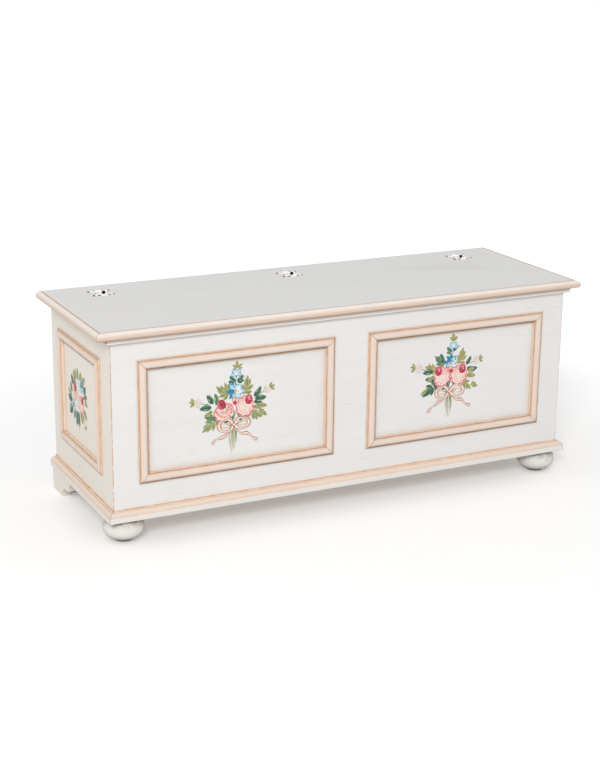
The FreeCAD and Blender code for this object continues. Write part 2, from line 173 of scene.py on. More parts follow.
def makeHaloAround():
    # A soft tone that fades away from the outline of a rectangle, on both sides of it.
    tree, given, put = newGroup(
        "haloAround",
        [("Across", "Float", 0.0), ("Up", "Float", 0.0), ("Middle Across", "Float", 0.0),
         ("Middle Up", "Float", 0.0), ("Half Width", "Float", 0.2), ("Half Height", "Float", 0.1),
         ("Reach Inside", "Float", 0.04), ("Reach Outside", "Float", 0.012)],
        [("Mask", "Float")])
    side = calc(tree, "ABSOLUTE", calc(tree, "SUBTRACT", given["Across"], given["Middle Across"]))
    rise = calc(tree, "ABSOLUTE", calc(tree, "SUBTRACT", given["Up"], given["Middle Up"]))
    distance = calc(tree, "MAXIMUM", calc(tree, "SUBTRACT", side, given["Half Width"]),
                    calc(tree, "SUBTRACT", rise, given["Half Height"]))
    outside = calc(tree, "DIVIDE", calc(tree, "MAXIMUM", distance, 0.0), given["Reach Outside"])
    inside = calc(tree, "DIVIDE", calc(tree, "MINIMUM", distance, 0.0), given["Reach Inside"])
    fade = calc(tree, "SUBTRACT", 1.0, calc(tree, "SUBTRACT", outside, inside), clamp=True)
    tree.links.new(calc(tree, "POWER", fade, 2.0), put["Mask"])
    return tree


wearShape = {"ragged": 380.0, "lengths": 46.0, "breakFrom": 0.90, "breakTo": 1.12}


def makeCornerWear():
    # Paint rubbed off an upright corner of the chest in a broken line.
    tree, given, put = newGroup(
        "cornerWear",
        [("Across", "Float", 0.0), ("Depth", "Float", 0.0), ("Up", "Float", 0.0),
         ("Half Width", "Float", 0.6), ("Depth Place", "Float", -0.2), ("Reach", "Float", 0.003),
         ("Cover", "Float", 0.5)],
        [("Mask", "Float")])
    side = calc(tree, "SUBTRACT", calc(tree, "ABSOLUTE", given["Across"]), given["Half Width"])
    depth = calc(tree, "SUBTRACT", given["Depth"], given["Depth Place"])
    distance = lengthOf(tree, joined(tree, X=side, Y=depth))
    spot = joined(tree, X=given["Across"], Z=given["Up"])
    ragged = softNoise(tree, spot, wearShape["ragged"], 3.0, 0.7)
    length = softNoise(tree, stretched(tree, spot, (3.0, 3.0, 1.0)), wearShape["lengths"], 2.0, 0.6)
    reach = calc(tree, "MULTIPLY", given["Reach"], calc(tree, "MULTIPLY_ADD", ragged, 1.6, 0.2))
    near = calc(tree, "SUBTRACT", 1.0, calc(tree, "DIVIDE", distance, reach), clamp=True)
    edge = remap(tree, near, 0.0, 0.45)
    gate = calc(tree, "ADD", length, given["Cover"])
    gate = remap(tree, gate, wearShape["breakFrom"], wearShape["breakTo"])
    tree.links.new(calc(tree, "MULTIPLY", edge, gate), put["Mask"])
    return tree


def makeHollowGlazeAndShade():
    # Brown in corners and quirks, found from how shut in they are: partly thin glaze that the paint has
    # there, partly painted shade.
    tree, given, put = newGroup(
        "hollowGlazeAndShade", [("Reach", "Float", 0.012), ("Strength", "Float", 0.5)], [("Mask", "Float")])
    hollow = addNode(tree, "ShaderNodeAmbientOcclusion", {"samples": 6}, {"Distance": given["Reach"]})
    shut = calc(tree, "SUBTRACT", 1.0, hollow.outputs["AO"])
    tree.links.new(calc(tree, "MULTIPLY", remap(tree, shut, 0.35, 1.0), given["Strength"]), put["Mask"])
    return tree


speckShape = {"clumpSize": 0.17, "clumpShare": 0.35, "spotFrom": 0.86, "spotTo": 0.92}


def makeSpecks():
    # Small scattered spots in clumps: knocks in paint, rust on metal.
    tree, given, put = newGroup(
        "specks",
        [("Place", "Vector", None), ("Size", "Float", 200.0), ("Amount", "Float", 0.5)],
        [("Mask", "Float")])
    spots = softNoise(tree, given["Place"], given["Size"], 3.0, 0.65)
    broad = calc(tree, "MULTIPLY", given["Size"], speckShape["clumpSize"])
    clump = softNoise(tree, given["Place"], broad, 1.0, 0.5)
    level = calc(tree, "MULTIPLY_ADD", clump, speckShape["clumpShare"], spots)
    spot = remap(tree, level, speckShape["spotFrom"], speckShape["spotTo"])
    tree.links.new(calc(tree, "MULTIPLY", spot, given["Amount"]), put["Mask"])
    return tree


brushStreaks = makeBrushStreaks()
hairCracks = makeHairCracks()
haloAround = makeHaloAround()
cornerWear = makeCornerWear()
hollowGlazeAndShade = makeHollowGlazeAndShade()
specks = makeSpecks()
print("shared finishes ready")


def newMaterial(name):
    made = bpy.data.materials.new(name)
    made.use_nodes = True
    tree = made.node_tree
    shader = tree.nodes["Principled BSDF"]
    return made, tree, shader


def placeOf(tree):
    # Where the surface lies on the chest, which stays with the piece when the lid moves.
    place = addNode(tree, "ShaderNodeTexCoord").outputs["Object"]
    return place, addNode(tree, "ShaderNodeSeparateXYZ", None, {0: place}).outputs


def facingOf(tree):
    # Which way the surface looks on its own piece, in any pose.
    normal = addNode(tree, "ShaderNodeTexCoord").outputs["Normal"]
    return addNode(tree, "ShaderNodeSeparateXYZ", None, {0: normal}).outputs


def bumpFrom(tree, height, strength, distance):
    return addNode(tree, "ShaderNodeBump", None, {
        "Height": height, "Strength": strength, "Distance": distance}).outputs["Normal"]


def finishShader(tree, shader, colour, rough, height, bump, distance=0.0002, specular=None):
    # Connects what every finish works out to its shader.
    tree.links.new(colour, shader.inputs["Base Color"])
    tree.links.new(rough, shader.inputs["Roughness"])
    tree.links.new(bumpFrom(tree, height, bump, distance), shader.inputs["Normal"])
    if specular is not None:
        shader.inputs["Specular IOR Level"].default_value = specular


# Where things are, from the frame.
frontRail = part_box("front_top_rail")
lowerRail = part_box("front_bottom_rail")
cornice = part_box("cornice_front")
bodyHalf = frontRail[1].x
frontY = frontRail[0].y
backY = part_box("back_top_rail")[1].y
carcassLow = lowerRail[0].z
openingLow = lowerRail[1].z
openingHigh = frontRail[0].z
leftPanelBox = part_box("front_left_panel_moulding_rails")
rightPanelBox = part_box("front_right_panel_moulding_rails")
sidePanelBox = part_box("left_panel_moulding_rails")
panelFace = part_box("front_left_panel")[0].y

boardFinish = {
    "front": {"base": paintChart(236, 235, 234), "grainAlong": "x", "streak": 0.05, "cloud": 0.035},
    "panel": {"base": paintChart(236, 235, 234), "grainAlong": "x", "streak": 0.05, "cloud": 0.04},
    "side": {"base": paintChart(242, 235, 225), "grainAlong": "y", "streak": 0.05, "cloud": 0.035},
    # The top is a darker copy of the front's paint: painted shade, since less light falls on it.
    "top": {"base": paintChart(231, 230, 229), "grainAlong": "x", "streak": 0.06, "cloud": 0.03},
    "crack": paintChart(200, 188, 174),
    "crackAmount": 0.42,
    # Brown in the hollows, partly glaze and partly painted shade.
    "glazeAndShade": paintChart(184, 164, 144),
    "glazeAndShadeReach": 0.006,
    "glazeAndShadeStrength": 0.45,
    "halo": paintChart(222, 214, 203),
    "haloInside": 0.026,
    "haloOutside": 0.009,
    "haloInset": 0.024,
    "bare": paintChart(206, 162, 128),
    "wearReach": 0.0019,
    "wearFront": 0.60,
    "wearBack": 0.46,
    "darkPatch": paintChart(205, 203, 200),
    "rim": paintChart(196, 146, 106),
    "rimWidth": 0.0044,
    "roughness": 0.38,
    "bump": 0.25,
    "specular": 0.35,
}


def panelHalo(tree, colour, kind, place, axis, facing, low, high):
    # A greyer margin round a framed panel, only on faces that look out of the chest.
    halo = useGroup(tree, haloAround, {
        "Across": axis["Y" if kind == "side" else "X"], "Up": axis["Z"],
        "Middle Across": (low[0] + high[0]) / 2, "Middle Up": (low[1] + high[1]) / 2,
        "Half Width": (high[0] - low[0]) / 2, "Half Height": (high[1] - low[1]) / 2,
        "Reach Inside": boardFinish["haloInside"], "Reach Outside": boardFinish["haloOutside"]})["Mask"]
    patchy = calc(tree, "MULTIPLY_ADD", softNoise(tree, place, 16.0, 2.0), 1.1, 0.1)
    halo = calc(tree, "MULTIPLY", halo, patchy, clamp=True)
    outward = calc(tree, "MULTIPLY", facing["Y"], -1.0)
    if kind == "side":
        outward = calc(tree, "MULTIPLY", facing["X"], calc(tree, "SIGN", axis["X"]))
    halo = calc(tree, "MULTIPLY", halo, remap(tree, outward, 0.4, 0.7))
    return blendColour(tree, halo, colour, boardFinish["halo"])


darkPatchShape = {"right": 0.53, "left": 0.20, "back": 0.10, "front": -0.02,
               "waviness": 0.05, "strength": 0.16}


def lidDarkPatch(tree, colour, place, axis):
    # A faint darker patch on the lid, wide at the right and running out to the left.
    wide = darkPatchShape["right"] - darkPatchShape["left"]
    deep = darkPatchShape["back"] - darkPatchShape["front"]
    y = calc(tree, "MULTIPLY_ADD", softNoise(tree, place, 9.0, 2.0), darkPatchShape["waviness"], axis["Y"])
    fromRight = remap(tree, axis["X"], darkPatchShape["right"], darkPatchShape["right"] - 0.03)
    run = calc(tree, "DIVIDE", calc(tree, "SUBTRACT", axis["X"], darkPatchShape["left"]), wide, clamp=True)
    frontLine = calc(tree, "SUBTRACT", darkPatchShape["back"], calc(tree, "MULTIPLY", run, deep))
    inFront = remap(tree, calc(tree, "SUBTRACT", y, frontLine), 0.0, 0.02)
    behind = remap(tree, y, darkPatchShape["back"] + 0.03, darkPatchShape["back"] + 0.02)
    mask = calc(tree, "MULTIPLY", calc(tree, "MULTIPLY", inFront, behind), fromRight)
    mask = calc(tree, "MULTIPLY", mask, remap(tree, run, 0.0, 0.4))
    mask = calc(tree, "MULTIPLY", mask, darkPatchShape["strength"])
    return blendColour(tree, mask, colour, boardFinish["darkPatch"])


def lidRim(tree, colour, place, axis):
    # A thin uneven line of tan round the lid's front and ends; the back edge keeps its paint.
    lidLow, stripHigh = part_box("lid_board")[0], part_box("back_strip")[1]
    farBack = stripHigh.y + 0.05
    rim = useGroup(tree, haloAround, {
        "Across": axis["X"], "Up": axis["Y"], "Middle Across": 0.0, "Middle Up": (lidLow.y + farBack) / 2,
        "Half Width": stripHigh.x, "Half Height": (farBack - lidLow.y) / 2,
        "Reach Inside": boardFinish["rimWidth"], "Reach Outside": boardFinish["rimWidth"]})["Mask"]
    uneven = softNoise(tree, stretched(tree, place, (30.0, 30.0, 30.0)), 1.0, 3.0, 0.6)
    rim = calc(tree, "MULTIPLY", rim, calc(tree, "MULTIPLY_ADD", uneven, 1.6, 0.3), clamp=True)
    return blendColour(tree, rim, colour, boardFinish["rim"])


def boardPaint(name, kind, halos=(), wear=True, onLid=False):
    # Satin paint on a board: brush streaks, hairline cracks, brown in the hollows that is partly glaze and
    # partly painted shade, worn corners.
    tone = boardFinish[kind]
    made, tree, shader = newMaterial(name)
    place, axis = placeOf(tree)
    facing = facingOf(tree)
    along = "XYZ" if tone["grainAlong"] == "x" else "YXZ"
    grain = joined(tree, X=axis[along[0]], Y=axis[along[1]], Z=axis[along[2]])
    streaks = useGroup(tree, brushStreaks, {
        "Grain": grain, "Streak": tone["streak"], "Cloud": tone["cloud"]})
    base = tone["base"]
    if kind == "front":
        endGrain = remap(tree, calc(tree, "ABSOLUTE", facing["X"]), 0.5, 0.85)
        base = blendColour(tree, endGrain, base, boardFinish["side"]["base"])
    colour = toned(tree, base, streaks["Tone"])
    cracks = useGroup(tree, hairCracks, {"Grain": grain, "Amount": boardFinish["crackAmount"]})["Mask"]
    colour = blendColour(tree, cracks, colour, boardFinish["crack"])
    for low, high in halos:
        colour = panelHalo(tree, colour, kind, place, axis, facing, low, high)
    if onLid:
        colour = lidDarkPatch(tree, colour, place, axis)
        colour = lidRim(tree, colour, place, axis)
    # Brown in the hollows: partly glaze, partly painted shade.
    glazeAndShade = useGroup(tree, hollowGlazeAndShade, {
        "Reach": boardFinish["glazeAndShadeReach"], "Strength": boardFinish["glazeAndShadeStrength"]})["Mask"]
    colour = blendColour(tree, glazeAndShade, colour, boardFinish["glazeAndShade"])
    if wear:
        for depth, cover in ((frontY, boardFinish["wearFront"]), (backY, boardFinish["wearBack"])):
            rubbed = useGroup(tree, cornerWear, {
                "Across": axis["X"], "Depth": axis["Y"], "Up": axis["Z"], "Half Width": bodyHalf,
                "Depth Place": depth, "Reach": boardFinish["wearReach"], "Cover": cover})["Mask"]
            colour = blendColour(tree, rubbed, colour, boardFinish["bare"])
    rough = calc(tree, "MULTIPLY_ADD", streaks["Height"], 0.10, boardFinish["roughness"])
    height = calc(tree, "MULTIPLY_ADD", cracks, -1.2, streaks["Height"])
    finishShader(tree, shader, colour, rough, height, boardFinish["bump"],
                 specular=boardFinish["specular"])
    return made


def outline(box, across, inset=0.0):
    # The upright rectangle round a box, as its low and high corners, across and up.
    return ((box[0][across] + inset, box[0].z + inset), (box[1][across] - inset, box[1].z - inset))


frontPaint = boardPaint("frontPaint", "front", [outline(leftPanelBox, 0), outline(rightPanelBox, 0)])
panelPaint = boardPaint("panelPaint", "panel", [
    outline(box, 0, boardFinish["haloInset"]) for box in (leftPanelBox, rightPanelBox)], wear=False)
backPaint = boardPaint("backPaint", "front")
sidePaint = boardPaint("sidePaint", "side", [outline(sidePanelBox, 1)])
# The lid and the back strip get the darker top paint: painted shade.
topPaint = boardPaint("topPaint", "top", wear=False, onLid=True)


trimFinish = {
    "pale": paintChart(243, 239, 233),
    "pink": paintChart(230, 206, 190),
    "sidePink": paintChart(232, 205, 184),
    "white": paintChart(235, 233, 229),
    "tan": paintChart(212, 158, 110),
    "brown": paintChart(148, 114, 82),
    # Painted shade on faces that look down, under the lid's nose and along moulding edges away from the
    # light.
    "undersideShade": paintChart(146, 110, 80),
    "undersideShadeStrength": 0.62,
    "noseShadowStrength": 0.34,
    "lineStrength": 0.85,
    "lineFrom": 0.58,
    "lineFade": 0.22,
    "mitreLine": 0.0016,
    "mitreStrength": 0.9,
    "lightFrom": (-0.38, 0.0, 1.0),
    "roughness": 0.42,
    "bump": 0.3,
    "specular": 0.38,
}
trimMarks = ("pinkWithPaintedHighlight", "rubbed", "alongRun", "aroundProfile", "jointAndShadeLine")


def trimPaint(name, reach=0.004, strength=0.55, pinkTone="pink", shadeAbove=None):
    # The mouldings' paint. Their meshes say how pink, rubbed and dark-lined each line of the profile is; a
    # paler pink over a round is a painted highlight, and the dark lines are mitres and painted shade.
    # Brown gathers in the hollows, partly glaze and partly painted shade, and the faces that look down get
    # painted shade.
    made, tree, shader = newMaterial(name)
    axis = placeOf(tree)[1]
    mark = {label: addNode(tree, "ShaderNodeAttribute", {"attribute_name": label}).outputs["Fac"]
            for label in trimMarks}
    grain = joined(tree, X=mark["alongRun"], Y=mark["aroundProfile"])
    streaks = useGroup(tree, brushStreaks, {"Grain": grain, "Streak": 0.07, "Cloud": 0.05})
    wander = softNoise(tree, stretched(tree, grain, (20.0, 400.0, 1.0)), 1.0, 3.0, 0.6)
    wander = calc(tree, "SUBTRACT", wander, 0.5)
    broken = softNoise(tree, stretched(tree, grain, (34.0, 260.0, 1.0)), 1.0, 4.0, 0.65)
    pink = calc(tree, "MULTIPLY_ADD", wander, 0.9, mark["pinkWithPaintedHighlight"], clamp=True)
    pink = calc(tree, "MULTIPLY", pink, calc(tree, "GREATER_THAN", mark["pinkWithPaintedHighlight"], 0.02))
    colour = blendColour(tree, pink, trimFinish["pale"], trimFinish[pinkTone])
    colour = blendColour(tree, calc(tree, "LESS_THAN", mark["pinkWithPaintedHighlight"], 0.02), colour, trimFinish["white"])
    colour = toned(tree, colour, streaks["Tone"])
    rub = calc(tree, "MULTIPLY", mark["rubbed"], remap(tree, broken, 0.30, 0.62, 0.35, 1.15), clamp=True)
    colour = blendColour(tree, rub, colour, trimFinish["tan"])
    # Painted shade on the faces that look down.
    under = remap(tree, facingOf(tree)["Z"], -0.15, -1.0, 0.0, trimFinish["undersideShadeStrength"])
    under = calc(tree, "MULTIPLY", under, remap(tree, broken, 0.2, 0.7, 0.75, 1.1), clamp=True)
    colour = blendColour(tree, under, colour, trimFinish["undersideShade"])
    # Brown lines: dark mitre joints, and painted shade on the edge away from the light.
    line = calc(tree, "MULTIPLY", mark["jointAndShadeLine"], remap(tree, broken, 0.2, 0.6, 0.6, 1.0), clamp=True)
    colour = blendColour(tree, line, colour, trimFinish["brown"])
    glazeAndShade = useGroup(tree, hollowGlazeAndShade, {"Reach": reach, "Strength": strength})["Mask"]
    colour = blendColour(tree, glazeAndShade, colour, trimFinish["brown"])
    # Painted shadow of the lid's nose: brown above the given height.
    if shadeAbove:
        wash = remap(tree, axis["Z"], shadeAbove, shadeAbove + 1.2 * mm, 0.0, trimFinish["noseShadowStrength"])
        colour = blendColour(tree, wash, colour, trimFinish["brown"])
    rough = calc(tree, "MULTIPLY_ADD", rub, 0.18, trimFinish["roughness"])
    height = calc(tree, "MULTIPLY_ADD", rub, -0.8, streaks["Height"])
    finishShader(tree, shader, colour, rough, height, trimFinish["bump"], specular=trimFinish["specular"])
    return made


corniceBeadTop = 4.6  # millimetres above the cornice's underside
trim = trimPaint("trimPaint")
# The cornice's paint is browner in its hollows and above its bead: painted shadow of the lid's nose.
shadedCorniceTrim = trimPaint("cornicePaintWithShade", 0.018, 0.72, shadeAbove=cornice[0].z + corniceBeadTop * mm)
sideTrim = trimPaint("sideTrimPaint", pinkTone="sidePink")

# Each shade is (where it starts, where it is full, its strength): heights in metres, or for the edge
# how far the surface turns away.
footFinish = {
    "base": paintChart(234, 232, 228),
    "shade": paintChart(146, 124, 106),
    "spot": paintChart(168, 132, 104),
    "ring": paintChart(70, 60, 52),
    "upperShade": (0.036, 0.057, 0.85),
    "lowerShade": (0.026, 0.009, 0.64),
    "edgeShade": (0.35, 0.95, 0.75),
    "ringShade": (0.0118, 0.0070, 0.95),
    "spotSize": 120.0,
    "spotAmount": 0.7,
}


def footPaint():
    # Painted turned feet: painted shade under the chest, round the edge and low down, small worn spots.
    made, tree, shader = newMaterial("footPaint")
    place, axis = placeOf(tree)

    def shadeOf(value, key):
        start, full, strength = footFinish[key]
        return remap(tree, value, start, full, 0.0, strength)

    streaks = useGroup(tree, brushStreaks, {
        "Grain": stretched(tree, place, (14.0, 14.0, 1.0)), "Streak": 0.04, "Cloud": 0.05})
    colour = toned(tree, footFinish["base"], streaks["Tone"])
    spots = useGroup(tree, specks, {
        "Place": place, "Size": footFinish["spotSize"], "Amount": footFinish["spotAmount"]})["Mask"]
    colour = blendColour(tree, spots, colour, footFinish["spot"])
    # Painted shade under the chest, round the edge and low down.
    ragged = remap(tree, softNoise(tree, place, 60.0, 3.0), 0.2, 0.7)
    under = calc(tree, "MULTIPLY", shadeOf(axis["Z"], "upperShade"), ragged)
    edge = addNode(tree, "ShaderNodeLayerWeight", None, {"Blend": 0.35}).outputs["Facing"]
    for shade in (under, shadeOf(edge, "edgeShade"), shadeOf(axis["Z"], "lowerShade")):
        colour = blendColour(tree, shade, colour, footFinish["shade"])
    colour = blendColour(tree, shadeOf(axis["Z"], "ringShade"), colour, footFinish["ring"])
    # Brown in the hollows: partly glaze, partly painted shade.
    glazeAndShade = useGroup(tree, hollowGlazeAndShade, {"Reach": 0.014, "Strength": 0.5})["Mask"]
    colour = blendColour(tree, glazeAndShade, colour, footFinish["shade"])
    rough = calc(tree, "MULTIPLY_ADD", streaks["Height"], 0.12, 0.28)
    finishShader(tree, shader, colour, rough, streaks["Height"], 0.15)
    return made


feetPaint = footPaint()

woodFinish = {"light": paintChart(222, 192, 150), "dark": paintChart(186, 144, 98),
              "hollow": paintChart(110, 78, 50), "alongGrain": 1.6, "acrossGrain": 34.0,
              "rings": 1.4, "waviness": 7.0}


def bareWood(name, along):
    # Planed softwood, its growth rings running along the board.
    made, tree, shader = newMaterial(name)
    place = placeOf(tree)[0]
    long, wide = woodFinish["alongGrain"], woodFinish["acrossGrain"]
    scale = (long, wide, wide) if along == "x" else (wide, long, wide)
    rings = addNode(tree, "ShaderNodeTexWave", {"wave_type": "BANDS", "bands_direction": "Z"}, {
        "Vector": stretched(tree, place, scale), "Scale": woodFinish["rings"],
        "Distortion": woodFinish["waviness"], "Detail": 3.0}).outputs["Fac"]
    fibre = softNoise(tree, stretched(tree, place, tuple(s * 14 for s in scale)), 1.0, 4.0, 0.7)
    colour = blendColour(tree, calc(tree, "MULTIPLY", rings, 0.6), woodFinish["light"], woodFinish["dark"])
    colour = blendColour(tree, calc(tree, "MULTIPLY", fibre, 0.45), colour, woodFinish["dark"])
    # Dark in the hollows: partly glaze, partly painted shade.
    glazeAndShade = useGroup(tree, hollowGlazeAndShade, {"Reach": 0.02, "Strength": 0.4})["Mask"]
    colour = blendColour(tree, glazeAndShade, colour, woodFinish["hollow"])
    finishShader(tree, shader, colour, calc(tree, "MULTIPLY_ADD", fibre, 0.2, 0.5), fibre, 0.3, 0.0003)
    return made


woodAlongX = bareWood("bareWoodAlongX", "x")
woodAlongY = bareWood("bareWoodAlongY", "y")


# Sizes of one hinge, in millimetres from its pin.
hinge = {"wingHalf": 28.0, "wingRoot": 18.0, "wingEdge": 26.0, "tip": 4.0, "notch": 23.5,
         "lobeHalf": 12.0, "lobe": 31.0, "rootHalf": 15.0, "near": 2.9, "thick": 1.5,
         "edge": 0.5, "edgeInset": 0.965, "insetBeyond": 10.0, "tabOverlap": 0.5,
         "knuckleRadius": 2.6, "middle": 11.0, "gap": 0.3, "ease": 0.25, "segments": 28,
         "pinRadius": 1.2, "pinEase": 0.1, "capRadius": 2.1, "capLength": 1.6, "capEase": 0.5,
         "screwOffset": 19.0, "screwReach": 20.5, "screwInner": 22.0}
pinLow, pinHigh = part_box("hinge_pins")
pinY = (pinLow.y + pinHigh.y) / 2
pinZ = (pinLow.z + pinHigh.z) / 2
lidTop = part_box("lid_board")[1].z
pinHalf = (hinge["rootHalf"] + hinge["gap"] + hinge["capLength"]) * mm
hingeSpacing = (pinHigh.x - pinLow.x) / 2 - pinHalf

# Places are metres from the middle of the hinge: along the pin, then across it.
hingeFinish = {
    "metal": paintChart(248, 248, 249),
    "rust": paintChart(150, 84, 32),
    "paintedKnuckleShade": paintChart(16, 13, 13),
    "tipRust": (0.0208, 0.0252),
    "notch": (0.0125, 0.0245),
    "notchRust": (0.0062, 0.0026),
    "grit": 420.0,
    "gritFrom": 0.28,
    "gritTo": 0.44,
    "knuckleShadeAlong": (0.0015, 0.0100),
    "knuckleShadeAcross": (-0.0032, 0.0058),
}


def hingeMetal():
    # Nickel plate, rusty at the wing tips and notches, with a black patch on one side of the knuckles:
    # painted shade and dark reflection.
    made, tree, shader = newMaterial("hingeNickel")
    place, axis = placeOf(tree)
    offset = calc(tree, "WRAP", axis["X"], hingeSpacing / 2, -hingeSpacing / 2)
    behind = calc(tree, "SUBTRACT", axis["Y"], pinY)
    along, across = calc(tree, "ABSOLUTE", offset), calc(tree, "ABSOLUTE", behind)
    notch = joined(tree, X=calc(tree, "SUBTRACT", along, hingeFinish["notch"][0]),
                   Y=calc(tree, "SUBTRACT", across, hingeFinish["notch"][1]))
    worn = calc(tree, "MAXIMUM", remap(tree, along, *hingeFinish["tipRust"]),
                remap(tree, lengthOf(tree, notch), *hingeFinish["notchRust"]))
    grit = softNoise(tree, place, hingeFinish["grit"], 3.0, 0.7)
    broken = remap(tree, grit, hingeFinish["gritFrom"], hingeFinish["gritTo"])
    spots = useGroup(tree, specks, {"Place": place, "Size": hingeFinish["grit"], "Amount": 0.5})["Mask"]
    rust = calc(tree, "MAXIMUM", calc(tree, "MULTIPLY", worn, broken), spots)
    # Black patch beside the knuckles: painted shade and dark reflection, drawn as non-metal black.
    paintedKnuckleShade = 1.0
    for value, (first, last) in ((offset, hingeFinish["knuckleShadeAlong"]), (behind, hingeFinish["knuckleShadeAcross"])):
        paintedKnuckleShade = calc(tree, "MULTIPLY", paintedKnuckleShade, remap(tree, value, first - 0.0006, first + 0.0006))
        paintedKnuckleShade = calc(tree, "MULTIPLY", paintedKnuckleShade, remap(tree, value, last + 0.0008, last - 0.0008))
    dull = calc(tree, "MAXIMUM", rust, paintedKnuckleShade)
    scuff = softNoise(tree, stretched(tree, place, (60.0, 900.0, 900.0)), 1.0, 3.0)
    colour = blendColour(tree, rust, hingeFinish["metal"], hingeFinish["rust"])
    colour = blendColour(tree, paintedKnuckleShade, colour, hingeFinish["paintedKnuckleShade"])
    rough = calc(tree, "MULTIPLY_ADD", scuff, 0.22, calc(tree, "MULTIPLY", dull, 0.6))
    tree.links.new(calc(tree, "SUBTRACT", 1.0, dull), shader.inputs["Metallic"])
    tree.links.new(calc(tree, "MULTIPLY_ADD", dull, -0.45, 0.5), shader.inputs["Specular IOR Level"])
    finishShader(tree, shader, colour, rough, scuff, 0.08, 0.0001)
    return made


glideFinish = {"black": paintChart(22, 21, 20), "dust": paintChart(74, 66, 58), "dustAmount": 0.35}


def glidePlastic():
    # Black moulded glides with floor dust on them.
    made, tree, shader = newMaterial("glidePlastic")
    dust = softNoise(tree, placeOf(tree)[0], 180.0, 3.0)
    dusty = calc(tree, "MULTIPLY", dust, glideFinish["dustAmount"])
    colour = blendColour(tree, dusty, glideFinish["black"], glideFinish["dust"])
    finishShader(tree, shader, colour, calc(tree, "MULTIPLY_ADD", dust, 0.3, 0.4), dust, 0.2)
    return made


nickel = hingeMetal()
blackGlide = glidePlastic()

flowerFinish = {"worn": paintChart(250, 246, 240), "wornAmount": 0.08, "bristle": 900.0, "wash": 130.0,
                "washDark": 0.90, "washLight": 1.06, "specular": 0.35}


def flowerPaint():
    # Brushed flower colours: each stroke's mesh carries its own colour.
    made, tree, shader = newMaterial("flowerPaint")
    place = placeOf(tree)[0]
    stroke = addNode(tree, "ShaderNodeAttribute", {"attribute_name": "strokeColour"}).outputs["Color"]
    bristle = softNoise(tree, place, flowerFinish["bristle"], 3.0, 0.7)
    wash = remap(tree, softNoise(tree, place, flowerFinish["wash"], 2.0), 0.3, 0.7,
                 flowerFinish["washDark"], flowerFinish["washLight"])
    worn = calc(tree, "MULTIPLY", bristle, flowerFinish["wornAmount"])
    colour = toned(tree, blendColour(tree, worn, stroke, flowerFinish["worn"]), wash)
    rough = calc(tree, "MULTIPLY_ADD", bristle, 0.2, 0.34)
    finishShader(tree, shader, colour, rough, bristle, 0.2, 0.0001, flowerFinish["specular"])
    return made


flowerColour = flowerPaint()
print("finishes ready")


def addObject(name, data):
    made = bpy.data.objects.new(name, data)
    bpy.context.scene.collection.objects.link(made)
    return made


bevelAngle = math.radians(40)


def makePiece(name, verts, faces, material, body="chest", stands=(),
              numbers=None, colours=None, sharp=32, bevel=0.0):
    mesh = bpy.data.meshes.new(name)
    mesh.from_pydata([tuple(v) for v in verts], [], faces)
    for label, values in (numbers or {}).items():
        mesh.attributes.new(label, "FLOAT", "POINT").data.foreach_set("value", values)
    if colours:
        layer = mesh.attributes.new("strokeColour", "FLOAT_COLOR", "POINT")
        layer.data.foreach_set("color", [c for colour in colours for c in colour])
    work = bmesh.new()
    work.from_mesh(mesh)
    bmesh.ops.recalc_face_normals(work, faces=work.faces)
    if bevel:
        edges = [e for e in work.edges if e.is_manifold and e.calc_face_angle() > bevelAngle]
        bmesh.ops.bevel(work, geom=edges, offset=bevel, segments=3, profile=0.5,
                        affect="EDGES", clamp_overlap=True)
    bmesh.ops.recalc_face_normals(work, faces=work.faces)
    work.to_mesh(mesh)
    work.free()
    mesh.shade_smooth()
    mesh.set_sharp_from_angle(angle=math.radians(sharp))
    mesh.materials.append(material)
    piece = addObject(name, mesh)
    level = piece.modifiers.new("levelShading", "WEIGHTED_NORMAL")
    level.keep_sharp = True
    level.weight = 100
    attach(piece, body)
    if stands:
        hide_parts(*stands)
    return piece


def ringFaces(first, count, rings):
    # Faces between rings of points that start at vertex first, with a cap on both ends.
    faces = []
    for ring in range(rings - 1):
        a = first + ring * count
        for i in range(count):
            j = (i + 1) % count
            faces.append((a + i, a + j, a + count + j, a + count + i))
    last = first + (rings - 1) * count
    return faces + [tuple(reversed(range(first, first + count))), tuple(range(last, last + count))]


def circle(radius, count):
    turns = [2 * math.pi * i / count for i in range(count)]
    return [(radius * math.cos(a), radius * math.sin(a)) for a in turns]


def bend(start, corner, end, count):
    # Points of a quarter round from start to end.
    weight = math.cos(math.pi / 4)
    points = []
    for i in range(count + 1):
        t = i / count
        pull = ((1 - t) ** 2, 2 * weight * t * (1 - t), t ** 2)
        points.append(tuple(sum(k * p[axis] for k, p in zip(pull, (start, corner, end))) / sum(pull)
                            for axis in (0, 1)))
    return points


def quarter(start, corner, end, count, pinks, rubs=(0.0, 0.0)):
    # The same with paint values that run from end to end.
    points = []
    for i, (a, n) in enumerate(bend(start, corner, end, count)):
        t = i / count
        points.append((a, n, pinks[0] + (pinks[1] - pinks[0]) * t, rubs[0] + (rubs[1] - rubs[0]) * t))
    return points


# Rounding of the boards' edges, in metres.
rounding = {"corner": 0.0008, "joint": 0.00018, "rim": 0.0010, "seam": 0.0004, "lidTop": 0.0003,
            "lidUnder": 0.0006, "bracket": 0.0008, "carried": 0.0006, "smallest": 0.00002,
            "cornerSteps": 3, "easing": 0.3}


